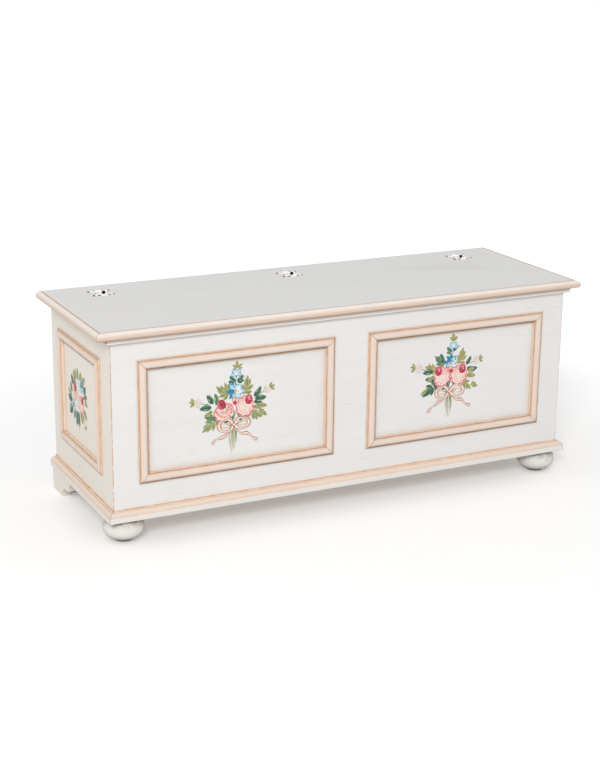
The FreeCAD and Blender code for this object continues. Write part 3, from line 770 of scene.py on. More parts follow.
def boardOutline(low, high, radii, inset):
    # Plan of a board with its own rounding at each upright corner: left front, right front,
    # right back, left back.
    x0, y0, x1, y1 = low.x + inset, low.y + inset, high.x - inset, high.y - inset
    corners = ((x0, y0, 1, 1, 2), (x1, y0, -1, 1, 3), (x1, y1, -1, -1, 0), (x0, y1, 1, -1, 1))
    steps = rounding["cornerSteps"]
    points = []
    for (x, y, sx, sy, turns), radius in zip(corners, radii):
        r = max(radius - inset, rounding["smallest"])
        for i in range(steps + 1):
            angle = (turns + i / steps) * math.pi / 2
            points.append((x + r * (sx + math.cos(angle)), y + r * (sy + math.sin(angle))))
    return points


def board(name, node, low, high, material, radii, top, bottom, body="chest"):
    # A board with eased edges, built up in level rings.
    easing = rounding["easing"]
    rings = [(low.z, bottom), (low.z + bottom * easing, bottom * easing), (low.z + bottom, 0.0),
             (high.z - top, 0.0), (high.z - top * easing, top * easing), (high.z, top)]
    verts = [(x, y, z) for z, inset in rings for x, y in boardOutline(low, high, radii, inset)]
    faces = ringFaces(0, len(verts) // len(rings), len(rings))
    return makePiece(name, verts, faces, material, body, stands=(node,))


runSteps = 24  # cuts along each length of moulding


def moulding(node, profile, runs, body="chest", paint=trim, shadeLines=False):
    # Lengths of moulding. A profile point is (across, out, pinkness, rubbed), where paler pink over a round
    # is a painted highlight; a run is (start, along, across, outward, length, growStart, growEnd). Every
    # mitre keeps a brown line.
    # With shadeLines, the edge away from the light gets a brown line of painted shade too.
    name = node + "_trim"
    verts, faces = [], []
    numbers = {label: [] for label in trimMarks}
    widest = max(point[0] for point in profile)
    seed = sum(ord(letter) for letter in name) * 0.37
    line = trimFinish["mitreLine"]
    middle = [(k / runSteps, 0.0) for k in range(1, runSteps)]
    cuts = [(0.0, 0.0), (0.0, line)] + middle + [(1.0, -line), (1.0, 0.0)]
    for number, (start, along, across, outward, length, growStart, growEnd) in enumerate(runs):
        first = len(verts)
        lee = -across.dot(Vector(trimFinish["lightFrom"])) if shadeLines else 0.0
        for share, shift in cuts:
            mitred = shift == 0.0 and ((share == 0.0 and growStart) or (share == 1.0 and growEnd))
            travelled = 0.0
            last = profile[0]
            for point in profile:
                a, n, pink, rubbed = point
                travelled += math.hypot(a - last[0], n - last[1]) * mm
                last = point
                u0 = -growStart * a * mm
                u1 = length + growEnd * a * mm
                u = u0 + (u1 - u0) * share + shift
                verts.append(start + along * u + across * (a * mm) + outward * (n * mm))
                place = 2 * a / widest - 1
                edge = min(max((abs(place) - trimFinish["lineFrom"]) / trimFinish["lineFade"], 0.0), 1.0)
                shaded = min(max(place * lee, 0.0), 1.0) * edge * trimFinish["lineStrength"]
                jointAndShadeLine = trimFinish["mitreStrength"] if mitred else shaded
                marks = (pink, rubbed, u + seed + number * 3.1, travelled, jointAndShadeLine)
                for label, value in zip(trimMarks, marks):
                    numbers[label].append(value)
        faces += ringFaces(first, len(profile), len(cuts))
    return makePiece(name, verts, faces, paint, body, (node,), numbers, sharp=38)


def buildCarcass():
    c, j = rounding["corner"], rounding["joint"]
    square, front, left, right = (j,) * 4, (c, c, j, j), (j, j, j, c), (j, j, c, j)
    corners = {"front_top_rail": front, "front_bottom_rail": front,
               "left_top_rail": left, "left_bottom_rail": left,
               "right_top_rail": right, "right_bottom_rail": right,
               "back_top_rail": square, "back_bottom_rail": square,
               "front_left_stile": (c, j, j, j), "front_centre_stile": square,
               "front_right_stile": (j, c, j, j), "left_front_stile": square,
               "left_rear_stile": left, "right_front_stile": square, "right_rear_stile": right,
               "front_left_panel": square, "front_right_panel": square, "left_panel": square,
               "right_panel": square, "back_panel": square}
    for node, radii in corners.items():
        low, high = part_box(node)
        wall, kind = node.split("_")[0], node.split("_")[-1]
        paint = {"front": frontPaint, "back": backPaint}.get(wall, sidePaint)
        if wall == "front" and kind == "panel":
            paint = panelPaint
        if kind == "stile":
            low.z = openingLow if wall == "front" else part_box("left_bottom_rail")[1].z
            high.z = openingHigh if wall == "front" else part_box("left_top_rail")[0].z
        top = rounding["rim"] if "top" in node else j
        board(node + "_board", node, low, high, paint, radii, top, j)


buildCarcass()
print("carcass boards built")


# Profiles in millimetres: (across, out, pinkness, rubbed). Round a panel these two are across the
# wall and out from it; round the chest and the lid they are out from the wall and up. Paler pink over a
# round's crest is a painted highlight.
def panelMouldingProfile():
    # A half round between two quirks, rubbed bare at both its feet, paler over its crest as a painted
    # highlight.
    points = [(0.0, 0.0, 0.30, 0.5), (0.0, 4.1, 0.35, 0.75), (0.0, 7.3, 0.30, 0.55),
              (0.25, 7.8, 0.25, 0.75), (0.7, 8.0, 0.25, 0.55), (1.6, 8.0, 0.35, 0.70),
              (2.0, 7.7, 0.6, 1.0), (2.3, 7.0, 0.8, 1.0)]
    rise = quarter((2.6, 7.2), (3.2, 12.5), (12.0, 12.5), 10, (0.98, 0.58))
    fall = quarter((12.0, 12.5), (20.8, 12.5), (21.4, 7.2), 10, (0.58, 1.0))
    for i, rubbed in enumerate((1.0, 0.70, 0.45, 0.32, 0.22, 0.12)):
        rise[i] = rise[i][:3] + (rubbed,)
        fall[-1 - i] = fall[-1 - i][:3] + (rubbed,)
    points += rise + fall[1:]
    points += [(21.7, 7.0, 0.9, 1.0), (22.0, 7.7, 0.7, 1.0), (22.4, 8.0, 0.5, 0.8),
               (23.3, 8.0, 0.5, 0.65), (23.75, 7.8, 0.5, 0.75), (24.0, 7.3, 0.5, 0.6),
               (24.0, 6.2, 0.4, 0.25), (24.0, 1.2, 0.4, 0.25), (24.0, 0.5, 0.5, 0.9), (24.0, 0.0, 0.5, 0.95)]
    return points


def baseMouldingProfile():
    # From the underside: a plain white band, a quarter round paler towards its top as a painted highlight, a
    # quirk and a small hollow.
    points = [(0.0, 0.0, 0.0, 0.0), (15.5, 0.0, 0.0, 0.25), (16.0, 0.5, 0.0, 0.35), (16.0, 1.6, 0.0, 0.0),
              (16.0, 12.6, 0.0, 0.0), (15.9, 13.6, 0.3, 0.35), (15.5, 14.0, 0.5, 0.25)]
    points += quarter((15.0, 14.2), (15.2, 22.5), (6.9, 22.5), 9, (0.95, 0.45))
    points += [(6.5, 22.0, 0.6, 0.9), (5.9, 21.7, 0.6, 1.0), (5.4, 22.2, 0.5, 0.6)]
    points += quarter((5.2, 22.4), (2.4, 22.2), (2.0, 26.0), 6, (0.35, 0.5), (0.2, 0.7))
    points += [(1.7, 26.8, 0.4, 0.9), (1.2, 27.0, 0.4, 0.8), (0.0, 27.0, 0.3, 0.9)]
    return points


def corniceProfile():
    # A small bead below a hollow, white and hardly rubbed.
    points = [(0.0, 0.0, 0.0, 0.0), (9.8, 0.0, 0.0, 0.0)]
    points += quarter((10.2, 0.1), (12.2, 0.0), (12.2, 2.2), 4, (0.0, 0.0))
    points += quarter((12.2, 2.2), (12.2, 4.4), (10.3, 4.3), 4, (0.0, 0.0))[1:]
    points += [(9.9, 4.5, 0.0, 0.3)]
    points += quarter((10.0, 5.0), (10.2, 9.9), (13.7, 10.0), 6, (0.0, 0.0))
    points += [(14.0, 10.2, 0.0, 0.2), (14.0, 11.0, 0.0, 0.0), (0.0, 11.0, 0.0, 0.0)]
    return points


def noseProfile():
    # Pink and rubbed below, pale on its upper half as a painted highlight, bare tan in the quirk beside the
    # board.
    points = [(0.0, 0.0, 0.7, 0.1), (7.6, 0.0, 0.8, 0.2)]
    points += quarter((8.0, 0.0), (13.0, 0.2), (13.0, 7.5), 9, (0.75, 0.80), (0.15, 0.30))
    upper = quarter((13.0, 7.5), (13.0, 18.0), (2.6, 18.0), 12, (0.98, -0.55), (0.36, -0.62))
    points += [(a, n, min(max(pink, 0.03), 1.0), max(rub, 0.0)) for a, n, pink, rub in upper[1:]]
    points += [(2.3, 18.0, 0.3, 0.9), (1.9, 17.9, 0.3, 1.0), (1.4, 17.3, 0.4, 1.0), (0.9, 17.0, 0.4, 1.0),
               (0.5, 17.2, 0.3, 1.0), (0.0, 17.6, 0.3, 1.0)]
    return points


toRight, toBack, toTop = Vector((1, 0, 0)), Vector((0, 1, 0)), Vector((0, 0, 1))


def wrapRuns(halfWidth, z, yFront, yBack):
    # Front, left and right lengths, mitred at the front corners.
    start, far = Vector((-halfWidth, yFront, z)), Vector((halfWidth, yFront, z))
    return {"front": (start, toRight, -toBack, toTop, 2 * halfWidth, 1, 1),
            "left": (start, toBack, -toRight, toTop, yBack - yFront, 1, 0),
            "right": (far, toBack, toRight, toTop, yBack - yFront, 1, 0)}


def frameRuns(low, high, side, along, outward):
    # Rails and stiles round one panel, mitred inwards at every corner.
    if side == 0:
        seat = toBack * high.y
    else:
        seat = toRight * (high.x if outward.x < 0 else low.x)
    lowCorner = seat + along * low[side] + toTop * low.z
    width, height = high[side] - low[side], high.z - low.z
    return {"rails": [(lowCorner, along, toTop, outward, width, -1, -1),
                      (lowCorner + toTop * height, along, -toTop, outward, width, -1, -1)],
            "stiles": [(lowCorner, toTop, along, outward, height, -1, -1),
                       (lowCorner + along * width, toTop, -along, outward, height, -1, -1)]}


def buildMouldings():
    walls = {"front_left": (0, toRight, -toBack, trim), "front_right": (0, toRight, -toBack, trim),
             "left": (1, toBack, -toRight, sideTrim), "right": (1, toBack, toRight, sideTrim)}
    for name, (side, along, outward, paint) in walls.items():
        low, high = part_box(f"{name}_panel_moulding_rails")
        for kind, runs in frameRuns(low, high, side, along, outward).items():
            node = f"{name}_panel_moulding_{kind}"
            moulding(node, panelMouldingProfile(), runs, paint=paint, shadeLines=True)
    bands = {"base_moulding": (carcassLow, baseMouldingProfile(), sideTrim),
             "cornice": (cornice[0].z, corniceProfile(), shadedCorniceTrim)}
    for name, (z, profile, paint) in bands.items():
        for part, run in wrapRuns(bodyHalf, z, frontY, backY).items():
            moulding(f"{name}_{part}", profile, [run], paint=paint)


buildMouldings()
print("mouldings built")


def buildTop():
    c, j = rounding["seam"], rounding["joint"]
    low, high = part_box("lid_board")
    board("lid_board_top", "lid_board", low, high, topPaint, (j, j, c, c), rounding["lidTop"],
          rounding["lidUnder"], "lid")
    stripLow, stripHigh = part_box("back_strip")
    board("back_strip_board", "back_strip", stripLow, stripHigh, topPaint, (c, c, j, j),
          rounding["lidTop"], j)
    for part, run in wrapRuns(high.x, low.z, low.y, high.y).items():
        moulding(f"lid_edge_{part}", noseProfile(), [run], "lid")
    for name, side in (("left", -1), ("right", 1)):
        start = Vector((side * high.x, stripLow.y, low.z))
        run = (start, toBack, toRight * side, toTop, stripHigh.y - stripLow.y, 0, 0)
        moulding(f"back_strip_edge_{name}", noseProfile(), [run])


buildTop()
print("lid and back strip built")

# Sizes of a bun foot in millimetres, heights above the floor. Its widest radius comes from the frame.
bun = {"segments": 72, "baseRadius": 23.0, "under": 12.0, "waist": 32.0, "shoulder": 52.0,
       "shoulderRadius": 37.0, "neckLow": 58.0, "neck": 33.0, "height": 61.0, "ease": 0.6,
       "roundSteps": 14, "shoulderSteps": 12}
glide = {"segments": 48, "profile": ((12.0, 0.0), (15.6, 0.0), (16.3, 0.4), (16.5, 1.0), (16.5, 2.0))}


def turnedSolid(verts, faces, profile, x, y, segments):
    # A solid turned round an upright axis; the profile is (radius, height).
    first = len(verts)
    for radius, z in profile:
        verts.extend((x + px, y + py, z * mm) for px, py in circle(radius * mm, segments))
    faces.extend(ringFaces(first, segments, len(profile)))


def bunProfile(radius):
    # From a small ring above the glide, round the bun to its neck.
    base, waist, neck, neckLow = bun["baseRadius"], bun["waist"], bun["neck"], bun["neckLow"]
    ring = [(base - 1.2, 2.0), (base - 0.2, 2.4), (base, 3.2), (base - 0.4, 4.6), (base - 0.2, 5.2)]
    lower = bend((base + 0.4, 5.6), (radius, bun["under"]), (radius, waist), bun["roundSteps"])
    shoulder = bend((radius, waist), (radius, bun["shoulder"]), (bun["shoulderRadius"], neckLow),
                    bun["shoulderSteps"])
    top = [(neck + bun["ease"], neckLow), (neck, neckLow + bun["ease"]), (neck, bun["height"])]
    return ring + lower + shoulder[1:] + top


# Cut outline of a bracket foot in millimetres, from its back corner at the floor.
bracket = {"toe": 71.0, "archReach": 26.0, "archHeight": 26.0, "cuspReach": 28.0, "cuspHeight": 30.5,
           "endRise": 26.5, "archSteps": 8}


def buildBracket(node, side):
    # Flat toe, a quarter arch, a ledge with a cusp and a last arch up to the base.
    low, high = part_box(node)
    outer, inner = (low.x, high.x) if side < 0 else (high.x, low.x)
    toe, archHeight, cuspHeight = bracket["toe"], bracket["archHeight"], bracket["cuspHeight"]
    archEnd = toe + bracket["archReach"]
    cusp = archEnd + bracket["cuspReach"]
    endHeight = cuspHeight + bracket["endRise"]
    front, top, steps = (high.y - low.y) / mm, high.z / mm, bracket["archSteps"]
    points = [(0.0, 0.0)] + bend((toe, 0.0), (toe, archHeight), (archEnd, archHeight), steps)
    points += bend((cusp, cuspHeight), (cusp, endHeight), (front, endHeight), steps)
    points += [(front, top), (0.0, top)]
    count = len(points)
    verts = [(x, high.y - u * mm, z * mm) for x in (outer, inner) for u, z in points]
    makePiece(node + "_cut", verts, ringFaces(0, count, 2), sidePaint, stands=(node,),
              bevel=rounding["bracket"])


def buildFeet():
    low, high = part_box("front_left_bun_foot")
    centre = (low + high) / 2
    profile = bunProfile((high.x - low.x) / 2 / mm)
    for name, side in (("left", 1), ("right", -1)):
        verts, faces = [], []
        node = f"front_{name}_bun_foot"
        turnedSolid(verts, faces, profile, centre.x * side, centre.y, bun["segments"])
        makePiece(node + "_turned", verts, faces, feetPaint, stands=(node,))
    verts, faces = [], []
    for side in (1, -1):
        turnedSolid(verts, faces, glide["profile"], centre.x * side, centre.y, glide["segments"])
    makePiece("front_glides", verts, faces, blackGlide,
              stands=("front_foot_glides",))
    for name, side in (("left", -1), ("right", 1)):
        buildBracket(f"rear_{name}_bracket_foot", side)


buildFeet()
print("feet built")


def leafOutline():
    # Butterfly outline of one leaf, from the pin outwards.
    r, w, e, t, b = (hinge[key] for key in ("rootHalf", "wingHalf", "wingEdge", "tip", "lobeHalf"))
    near, root, notch, lobe = (hinge[key] for key in ("near", "wingRoot", "notch", "lobe"))
    right = [(0.0, near)] + bend((r, near), (r, root), (w, root), 6)
    right += bend((w, e - t), (w, e), (w - t, e), 4)
    right += [(b + 1.0, notch + 0.3)]
    right += bend((b, notch), (b, lobe), (0.0, lobe), 7)
    return right + [(-x, y) for x, y in reversed(right[1:-1])]


def tube(verts, faces, x0, x1, radius, ease):
    # A round bar along the pin's axis with eased ends.
    first = len(verts)
    rings = ((x0, radius - ease), (x0 + ease, radius), (x1 - ease, radius), (x1, radius - ease))
    for x, r in rings:
        verts.extend((x * mm, pinY + py, pinZ + pz) for py, pz in circle(r * mm, hinge["segments"]))
    faces.extend(ringFaces(first, hinge["segments"], len(rings)))


def leafPlate(verts, faces, x, direction):
    # The flat leaf, its upper edge eased.
    plan, thick, near = leafOutline(), hinge["thick"], hinge["near"]
    first = len(verts)
    for z, inset in ((0.0, 1.0), (thick - hinge["edge"], 1.0), (thick, hinge["edgeInset"])):
        for px, py in plan:
            away = near + (py - near) * inset if py > hinge["insetBeyond"] else py
            verts.append(((x + px * inset) * mm, pinY + direction * away * mm, lidTop + z * mm))
    faces.extend(ringFaces(first, len(plan), 3))


def knuckle(verts, faces, x0, x1, direction):
    # A knuckle round the pin and the tab that joins it to its leaf.
    tube(verts, faces, x0, x1, hinge["knuckleRadius"], hinge["ease"])
    reach = hinge["near"] + hinge["tabOverlap"]
    first = len(verts)
    for z in (0.0, hinge["thick"]):
        for px, py in ((x0, 0.0), (x1, 0.0), (x1, reach), (x0, reach)):
            verts.append((px * mm, pinY + direction * py * mm, lidTop + z * mm))
    faces.extend(ringFaces(first, 4, 2))


# Sizes of one screw in millimetres: levels are (radius, height above the board). The turn makes each
# slot lie differently.
screw = {"segments": 40, "turn": 0.7, "slotReach": 1.65, "slotCore": 0.62, "slotShare": 0.42,
         "slotFloor": 1.1, "levels": ((1.3, -12.0), (1.3, 0.2), (2.9, 1.45), (2.8, 1.62), (2.3, 1.78),
                                      (1.75, 1.86))}


def buildScrews(node, body, direction, places):
    # Countersunk heads, a little domed, with a crossed slot sunk into each.
    verts, faces = [], []
    count = screw["segments"]
    offset, reach = hinge["screwOffset"], hinge["screwReach"]
    for cx, cy in [(x + dx, dy) for x in places
                   for dx, dy in ((-offset, reach), (0.0, hinge["screwInner"]), (offset, reach))]:
        slot = []
        for i, (px, py) in enumerate(circle(1.0, count)):
            a = 2 * math.pi * i / count + cx * screw["turn"]
            arm = screw["slotReach"] if abs(math.sin(2 * a)) < screw["slotShare"] else screw["slotCore"]
            slot.append((px * arm, py * arm))
        rings = [(circle(radius, count), z) for radius, z in screw["levels"]]
        rings += [(slot, rings[-1][1]), (slot, screw["slotFloor"])]
        first = len(verts)
        for ring, z in rings:
            verts.extend(((cx + px) * mm, pinY + direction * (cy + py) * mm, lidTop + z * mm)
                         for px, py in ring)
        faces += ringFaces(first, count, len(rings))
    makePiece(node + "_heads", verts, faces, nickel, body, (node,))


def buildHinges():
    places = [k * hingeSpacing / mm for k in (-1, 0, 1)]
    root, gap, half = hinge["rootHalf"], hinge["gap"], hinge["middle"] / 2
    kinds = (("fixed", "chest", 1, ((-root, -half - gap), (half + gap, root))),
             ("lid", "lid", -1, ((-half, half),)))
    for kind, body, direction, spans in kinds:
        verts, faces = [], []
        for x in places:
            leafPlate(verts, faces, x, direction)
            for x0, x1 in spans:
                knuckle(verts, faces, x + x0, x + x1, direction)
        node = f"hinge_{kind}_leaves"
        makePiece(node + "_plate", verts, faces, nickel, body, (node,))
        buildScrews(f"hinge_screws_{kind}", body, direction, places)
    verts, faces = [], []
    end, cap = root + gap, hinge["capLength"]
    for x in places:
        tube(verts, faces, x - end, x + end, hinge["pinRadius"], hinge["pinEase"])
        for x0 in (x - end - cap, x + end):
            tube(verts, faces, x0, x0 + cap, hinge["capRadius"], hinge["capEase"])
    makePiece("hinge_pins_round", verts, faces, nickel, "chest", ("hinge_pins",))


buildHinges()
print("hinges built")


def dressSolids():
    # The plain inner boards are the solids themselves, with a finish and eased edges.
    finish = {"bottom_board": woodAlongX, "front_cleat": woodAlongX, "back_cleat": woodAlongX,
              "left_cleat": woodAlongY, "right_cleat": woodAlongY, "front_foot_blocks": woodAlongX,
              "rear_foot_blocks": woodAlongX}
    for node, material in finish.items():
        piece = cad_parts[node]
        piece.data.materials.clear()
        piece.data.materials.append(material)
        ease = piece.modifiers.new("easedEdges", "BEVEL")
        ease.width = rounding["carried"]
        ease.segments = 2
        ease.limit_method = "ANGLE"
        ease.angle_limit = bevelAngle


dressSolids()
print("carried-over pieces dressed")


flowerChart = {
    "deepGreen": (22, 66, 48), "darkGreen": (38, 96, 70), "green": (76, 122, 76), "teal": (66, 132, 112),
    "olive": (152, 156, 92), "paleOlive": (198, 198, 148), "gold": (170, 156, 84),
    "stem": (128, 142, 96), "paleStem": (204, 198, 176), "rosyGrey": (214, 196, 184),
    "blush": (248, 218, 206), "pink": (240, 182, 170), "rose": (222, 100, 126), "crimson": (196, 20, 72),
    "wine": (116, 8, 42), "cream": (252, 244, 236), "coral": (226, 124, 108),
    "blue": (30, 142, 190), "deepBlue": (14, 100, 152), "sky": (124, 190, 218), "ice": (204, 229, 238),
    "ribbon": (208, 156, 128), "ribbonLight": (246, 232, 220), "ribbonDark": (172, 112, 82),
    "ink": (40, 26, 30), "yellow": (206, 184, 96),
}


# How paint is laid on. Heights are millimetres above the panel.
brush = {"lanes": (-1.0, -0.5, 0.0, 0.5, 1.0), "firstLift": 0.02, "layer": 0.0014, "dome": 0.004,
         "uneven": 0.07}


class Bunch:
    # Collects brush strokes on one panel. u across and v up are millimetres from its own origin.
    def __init__(self, origin, across, outward, seed, size):
        self.origin = origin
        self.across = across
        self.outward = outward
        self.size = size
        self.chance = random.Random(seed)
        self.verts = []
        self.faces = []
        self.colours = []
        self.lift = brush["firstLift"]

    def point(self, u, v, height):
        wide, tall = self.size
        side = self.across * (u * wide * mm)
        return self.origin + side + toTop * (v * tall * mm) + self.outward * (height * mm)

    def stroke(self, spine, width, colours, shape="leaf", steps=10):
        # A thin ribbon of paint along a smooth spine; colours are (left, middle, right) names.
        path = smoothPath(spine, steps)
        shades = [paintChart(*flowerChart[name]) for name in colours]
        first = len(self.verts)
        self.lift += brush["layer"]
        for i, (u, v) in enumerate(path):
            before, after = path[max(i - 1, 0)], path[min(i + 1, len(path) - 1)]
            du, dv = after[0] - before[0], after[1] - before[1]
            length = math.hypot(du, dv) or 1.0
            nu, nv = -dv / length, du / length
            half = width / 2 * strokeShape(shape, i / (len(path) - 1))
            fade = brush["uneven"] * self.chance.uniform(-1, 1)
            for lane in brush["lanes"]:
                side = lane * half * (1 + brush["uneven"] * self.chance.uniform(-1, 1) * abs(lane))
                height = self.lift + brush["dome"] * (1 - lane * lane)
                self.verts.append(self.point(u + nu * side, v + nv * side, height))
                mixed = mixShades(shades, (lane + 1) / 2)
                self.colours.append(tuple(min(max(c * (1 + fade), 0.0), 1.0) for c in mixed[:3]) + (1.0,))
            for lane in (1.0, -1.0):
                self.verts.append(self.point(u + nu * lane * half, v + nv * lane * half, 0.0))
                self.colours.append(mixShades(shades, (lane + 1) / 2))
        self.faces += ringFaces(first, len(brush["lanes"]) + 2, len(path))

    def oval(self, u, v, wide, tall, colours, steps):
        # A round dab of paint.
        self.stroke([(u - wide / 2, v), (u + wide / 2, v)], tall, colours, "round", steps)

    def dot(self, u, v, radius, colour, edge=None):
        self.stroke([(u - radius, v), (u, v), (u + radius, v)], 2 * radius,
                    (edge or colour, colour, edge or colour), "round", 6)

    def finish(self, name):
        return makePiece(name, self.verts, self.faces, flowerColour, "chest",
                         colours=self.colours, sharp=50)


def smoothPath(points, steps):
    # A curve through the given points.
    if len(points) == 2:
        (a, b), (c, d) = points
        return [(a + (c - a) * i / steps, b + (d - b) * i / steps) for i in range(steps + 1)]
    padded = [points[0]] + list(points) + [points[-1]]
    each = max(3, steps // (len(points) - 1))
    path = []
    for k in range(len(points) - 1):
        p0, p1, p2, p3 = padded[k:k + 4]
        for i in range(each):
            t = i / each
            path.append(tuple(0.5 * (2 * p1[a] + (p2[a] - p0[a]) * t
                                     + (2 * p0[a] - 5 * p1[a] + 4 * p2[a] - p3[a]) * t * t
                                     + (3 * p1[a] - p0[a] - 3 * p2[a] + p3[a]) * t ** 3) for a in (0, 1)))
    path.append(tuple(points[-1]))
    return path


def strokeShape(shape, t):
    # How wide a stroke is along its length, from 0 to 1.
    if shape == "leaf":
        return max(0.03, math.sin(math.pi * t ** 0.8) ** 0.85)
    if shape == "petal":
        return max(0.05, math.sin(math.pi * min(1.0, 0.12 + t * 0.88)) ** 0.5)
    if shape == "round":
        return max(0.04, math.sqrt(max(0.0, 1 - (2 * t - 1) ** 2)))
    if shape == "comma":
        return max(0.03, (1 - t) ** 0.6 * min(1.0, 0.35 + 5 * t))
    if shape == "ribbon":
        return 0.72 + 0.28 * math.cos(math.pi * 4 * t)
    return max(0.05, min(1.0, 8 * t, 8 * (1 - t)))


def mixShades(shades, t):
    low, high = (shades[0], shades[1]) if t < 0.5 else (shades[1], shades[2])
    k = t * 2 if t < 0.5 else t * 2 - 1
    return tuple(a + (b - a) * k for a, b in zip(low, high))


def reachPoint(u, v, angle, length):
    a = math.radians(angle)
    return (u + length * math.cos(a), v + length * math.sin(a))


leafTones = {
    "dark": (("teal", "darkGreen", "darkGreen"), "deepGreen", "paleOlive"),
    "olive": (("paleOlive", "olive", "olive"), "green", "paleOlive"),
    "mixed": (("olive", "green", "teal"), "darkGreen", "paleOlive"),
    "gold": (("gold", "gold", "olive"), "olive", "paleOlive"),
}


def leafStroke(bunch, u, v, angle, length, width, kind, lit=True):
    # One leaf from its stalk end: body, a darker vein and a pale stroke on its lit side.
    body, vein, glow = leafTones[kind]
    turn = bunch.chance.uniform(-12, 12)
    middle = reachPoint(u, v, angle + turn, length * 0.55)
    bunch.stroke([(u, v), middle, reachPoint(u, v, angle, length)], width, body, "leaf")
    inner = reachPoint(u, v, angle + turn * 0.6, length * 0.12)
    bunch.stroke([inner, middle, reachPoint(u, v, angle, length * 0.84)], width * 0.34,
                 (vein,) * 3, "comma", 8)
    if not lit:
        return
    side = reachPoint(middle[0], middle[1], angle + 90, width * 0.27)
    bunch.stroke([reachPoint(side[0], side[1], angle + 180, length * 0.22),
                  reachPoint(side[0], side[1], angle, length * 0.20)], width * 0.15, (glow,) * 3, "leaf", 6)


# Each lobe of a broad leaf: its turn, where it starts, its length and its width.
lobes = ((78, 0.06, 0.36, 0.24), (-78, 0.08, 0.36, 0.24), (50, 0.22, 0.46, 0.27), (-50, 0.26, 0.46, 0.27),
         (24, 0.40, 0.44, 0.25), (-24, 0.44, 0.44, 0.25), (0, 0.36, 0.68, 0.27))


def lobedLeaf(bunch, u, v, angle, size, kind, heart):
    # A broad leaf of separate rounded lobes, each darker along its middle and pale at one edge.
    body = leafTones[kind][0]
    for turn, start, reach, wide in lobes:
        at = reachPoint(u, v, angle, size * start)
        tip = reachPoint(at[0], at[1], angle + turn + bunch.chance.uniform(-8, 8), size * reach)
        shades = body if turn >= 0 else (body[2], body[1], "paleOlive")
        bunch.stroke([at, tip], size * wide, shades, "leaf", 8)
        near = ((at[0] * 3 + tip[0]) / 4, (at[1] * 3 + tip[1]) / 4)
        far = ((at[0] + tip[0] * 3) / 4, (at[1] + tip[1] * 3) / 4)
        bunch.stroke([near, far], size * wide * 0.30, (heart,) * 3, "leaf", 6)
    bunch.stroke([(u, v), reachPoint(u, v, angle, size * 0.7)], size * 0.06, (heart,) * 3, "comma", 6)


def petal(bunch, u, v, angle, reach, width, edge, fill, light):
    # A petal with a stronger line round it, rounded at its far end.
    a, b = reachPoint(u, v, angle, reach * 0.12), reachPoint(u, v, angle, reach)
    bunch.stroke([a, b], width, (edge, edge, edge), "petal", 9)
    inner = reachPoint(u, v, angle, reach * 0.93)
    bunch.stroke([a, inner], width * 0.82, (fill, light, fill), "petal", 9)


def curl(bunch, u, v, angle, reach, spread, width, colours):
    # A curved stroke that lies across the flower, like the rolled lip of a petal.
    bunch.stroke([reachPoint(u, v, angle - spread, reach * 0.94), reachPoint(u, v, angle, reach),
                  reachPoint(u, v, angle + spread, reach * 0.94)], width, colours, "leaf", 9)


def roseCup(bunch, u, v, wide, tall):
    # The rose's deep heart: bright on one side, nearly black on the other.
    bunch.oval(u, v, wide, tall, ("rose", "crimson", "crimson"), 12)
    bunch.oval(u + wide * 0.15, v - tall * 0.04, wide * 0.50, tall * 0.66, ("crimson", "wine", "wine"), 10)
    for shift, colour in ((-0.36, "pink"), (-0.20, "rose")):
        bunch.stroke([(u + wide * shift, v + tall * 0.30), (u + wide * (shift - 0.07), v),
                      (u + wide * (shift + 0.02), v - tall * 0.30)], wide * 0.08, (colour,) * 3, "leaf", 8)
    bunch.stroke([(u + wide * 0.10, v - tall * 0.44), (u + wide * 0.44, v - tall * 0.24),
                  (u + wide * 0.50, v + tall * 0.12)], wide * 0.17, ("ink", "wine", "wine"), "leaf", 9)
    for shift, rise in ((0.10, 0.16), (0.22, -0.02), (0.06, -0.20)):
        bunch.dot(u + wide * shift, v + tall * rise, wide * 0.035, "pink")


# The petals of an open rose: direction, length and width as shares of its size.
skirt = ((205, 0.56, 0.46), (232, 0.60, 0.44), (262, 0.58, 0.46), (292, 0.56, 0.44), (322, 0.52, 0.42),
         (182, 0.44, 0.36), (350, 0.44, 0.38), (14, 0.40, 0.36))


def openRose(bunch, u, v, size):
    # A rose seen from its side: cup above, broad pale petals folding down over each other.
    for k, (angle, reach, wide) in enumerate(skirt):
        petal(bunch, u, v, angle, size * reach, size * wide, "rose" if k % 2 else "coral", "pink", "blush")
    for angle in (212, 250, 288, 326):
        curl(bunch, u, v, angle, size * 0.45, 17, size * 0.10, ("cream", "blush", "pink"))
        curl(bunch, u, v, angle + 16, size * 0.34, 20, size * 0.055, ("coral", "coral", "pink"))
        curl(bunch, u, v, angle + 6, size * 0.27, 24, size * 0.09, ("cream", "blush", "pink"))
    for angle, reach in ((8, 0.40), (30, 0.36), (52, 0.30)):
        petal(bunch, u, v, angle, size * reach, size * 0.24, "coral", "pink", "blush")
        curl(bunch, u, v, angle, size * reach * 0.72, 22, size * 0.05, ("coral", "coral", "pink"))
    roseCup(bunch, u - size * 0.14, v + size * 0.20, size * 0.40, size * 0.44)


# The folds of a full rose, direction and distance, and the specks in its eye.
folds = ((200, 0.34), (232, 0.38), (264, 0.40), (296, 0.40), (328, 0.37),
         (216, 0.26), (250, 0.28), (284, 0.29), (318, 0.27), (262, 0.17))
eyeSpecks = ((0.03, 0.08, "cream"), (-0.03, 0.03, "blush"), (0.05, 0.0, "cream"),
             (-0.05, -0.06, "rose"), (0.02, -0.08, "wine"), (-0.01, 0.11, "pink"))


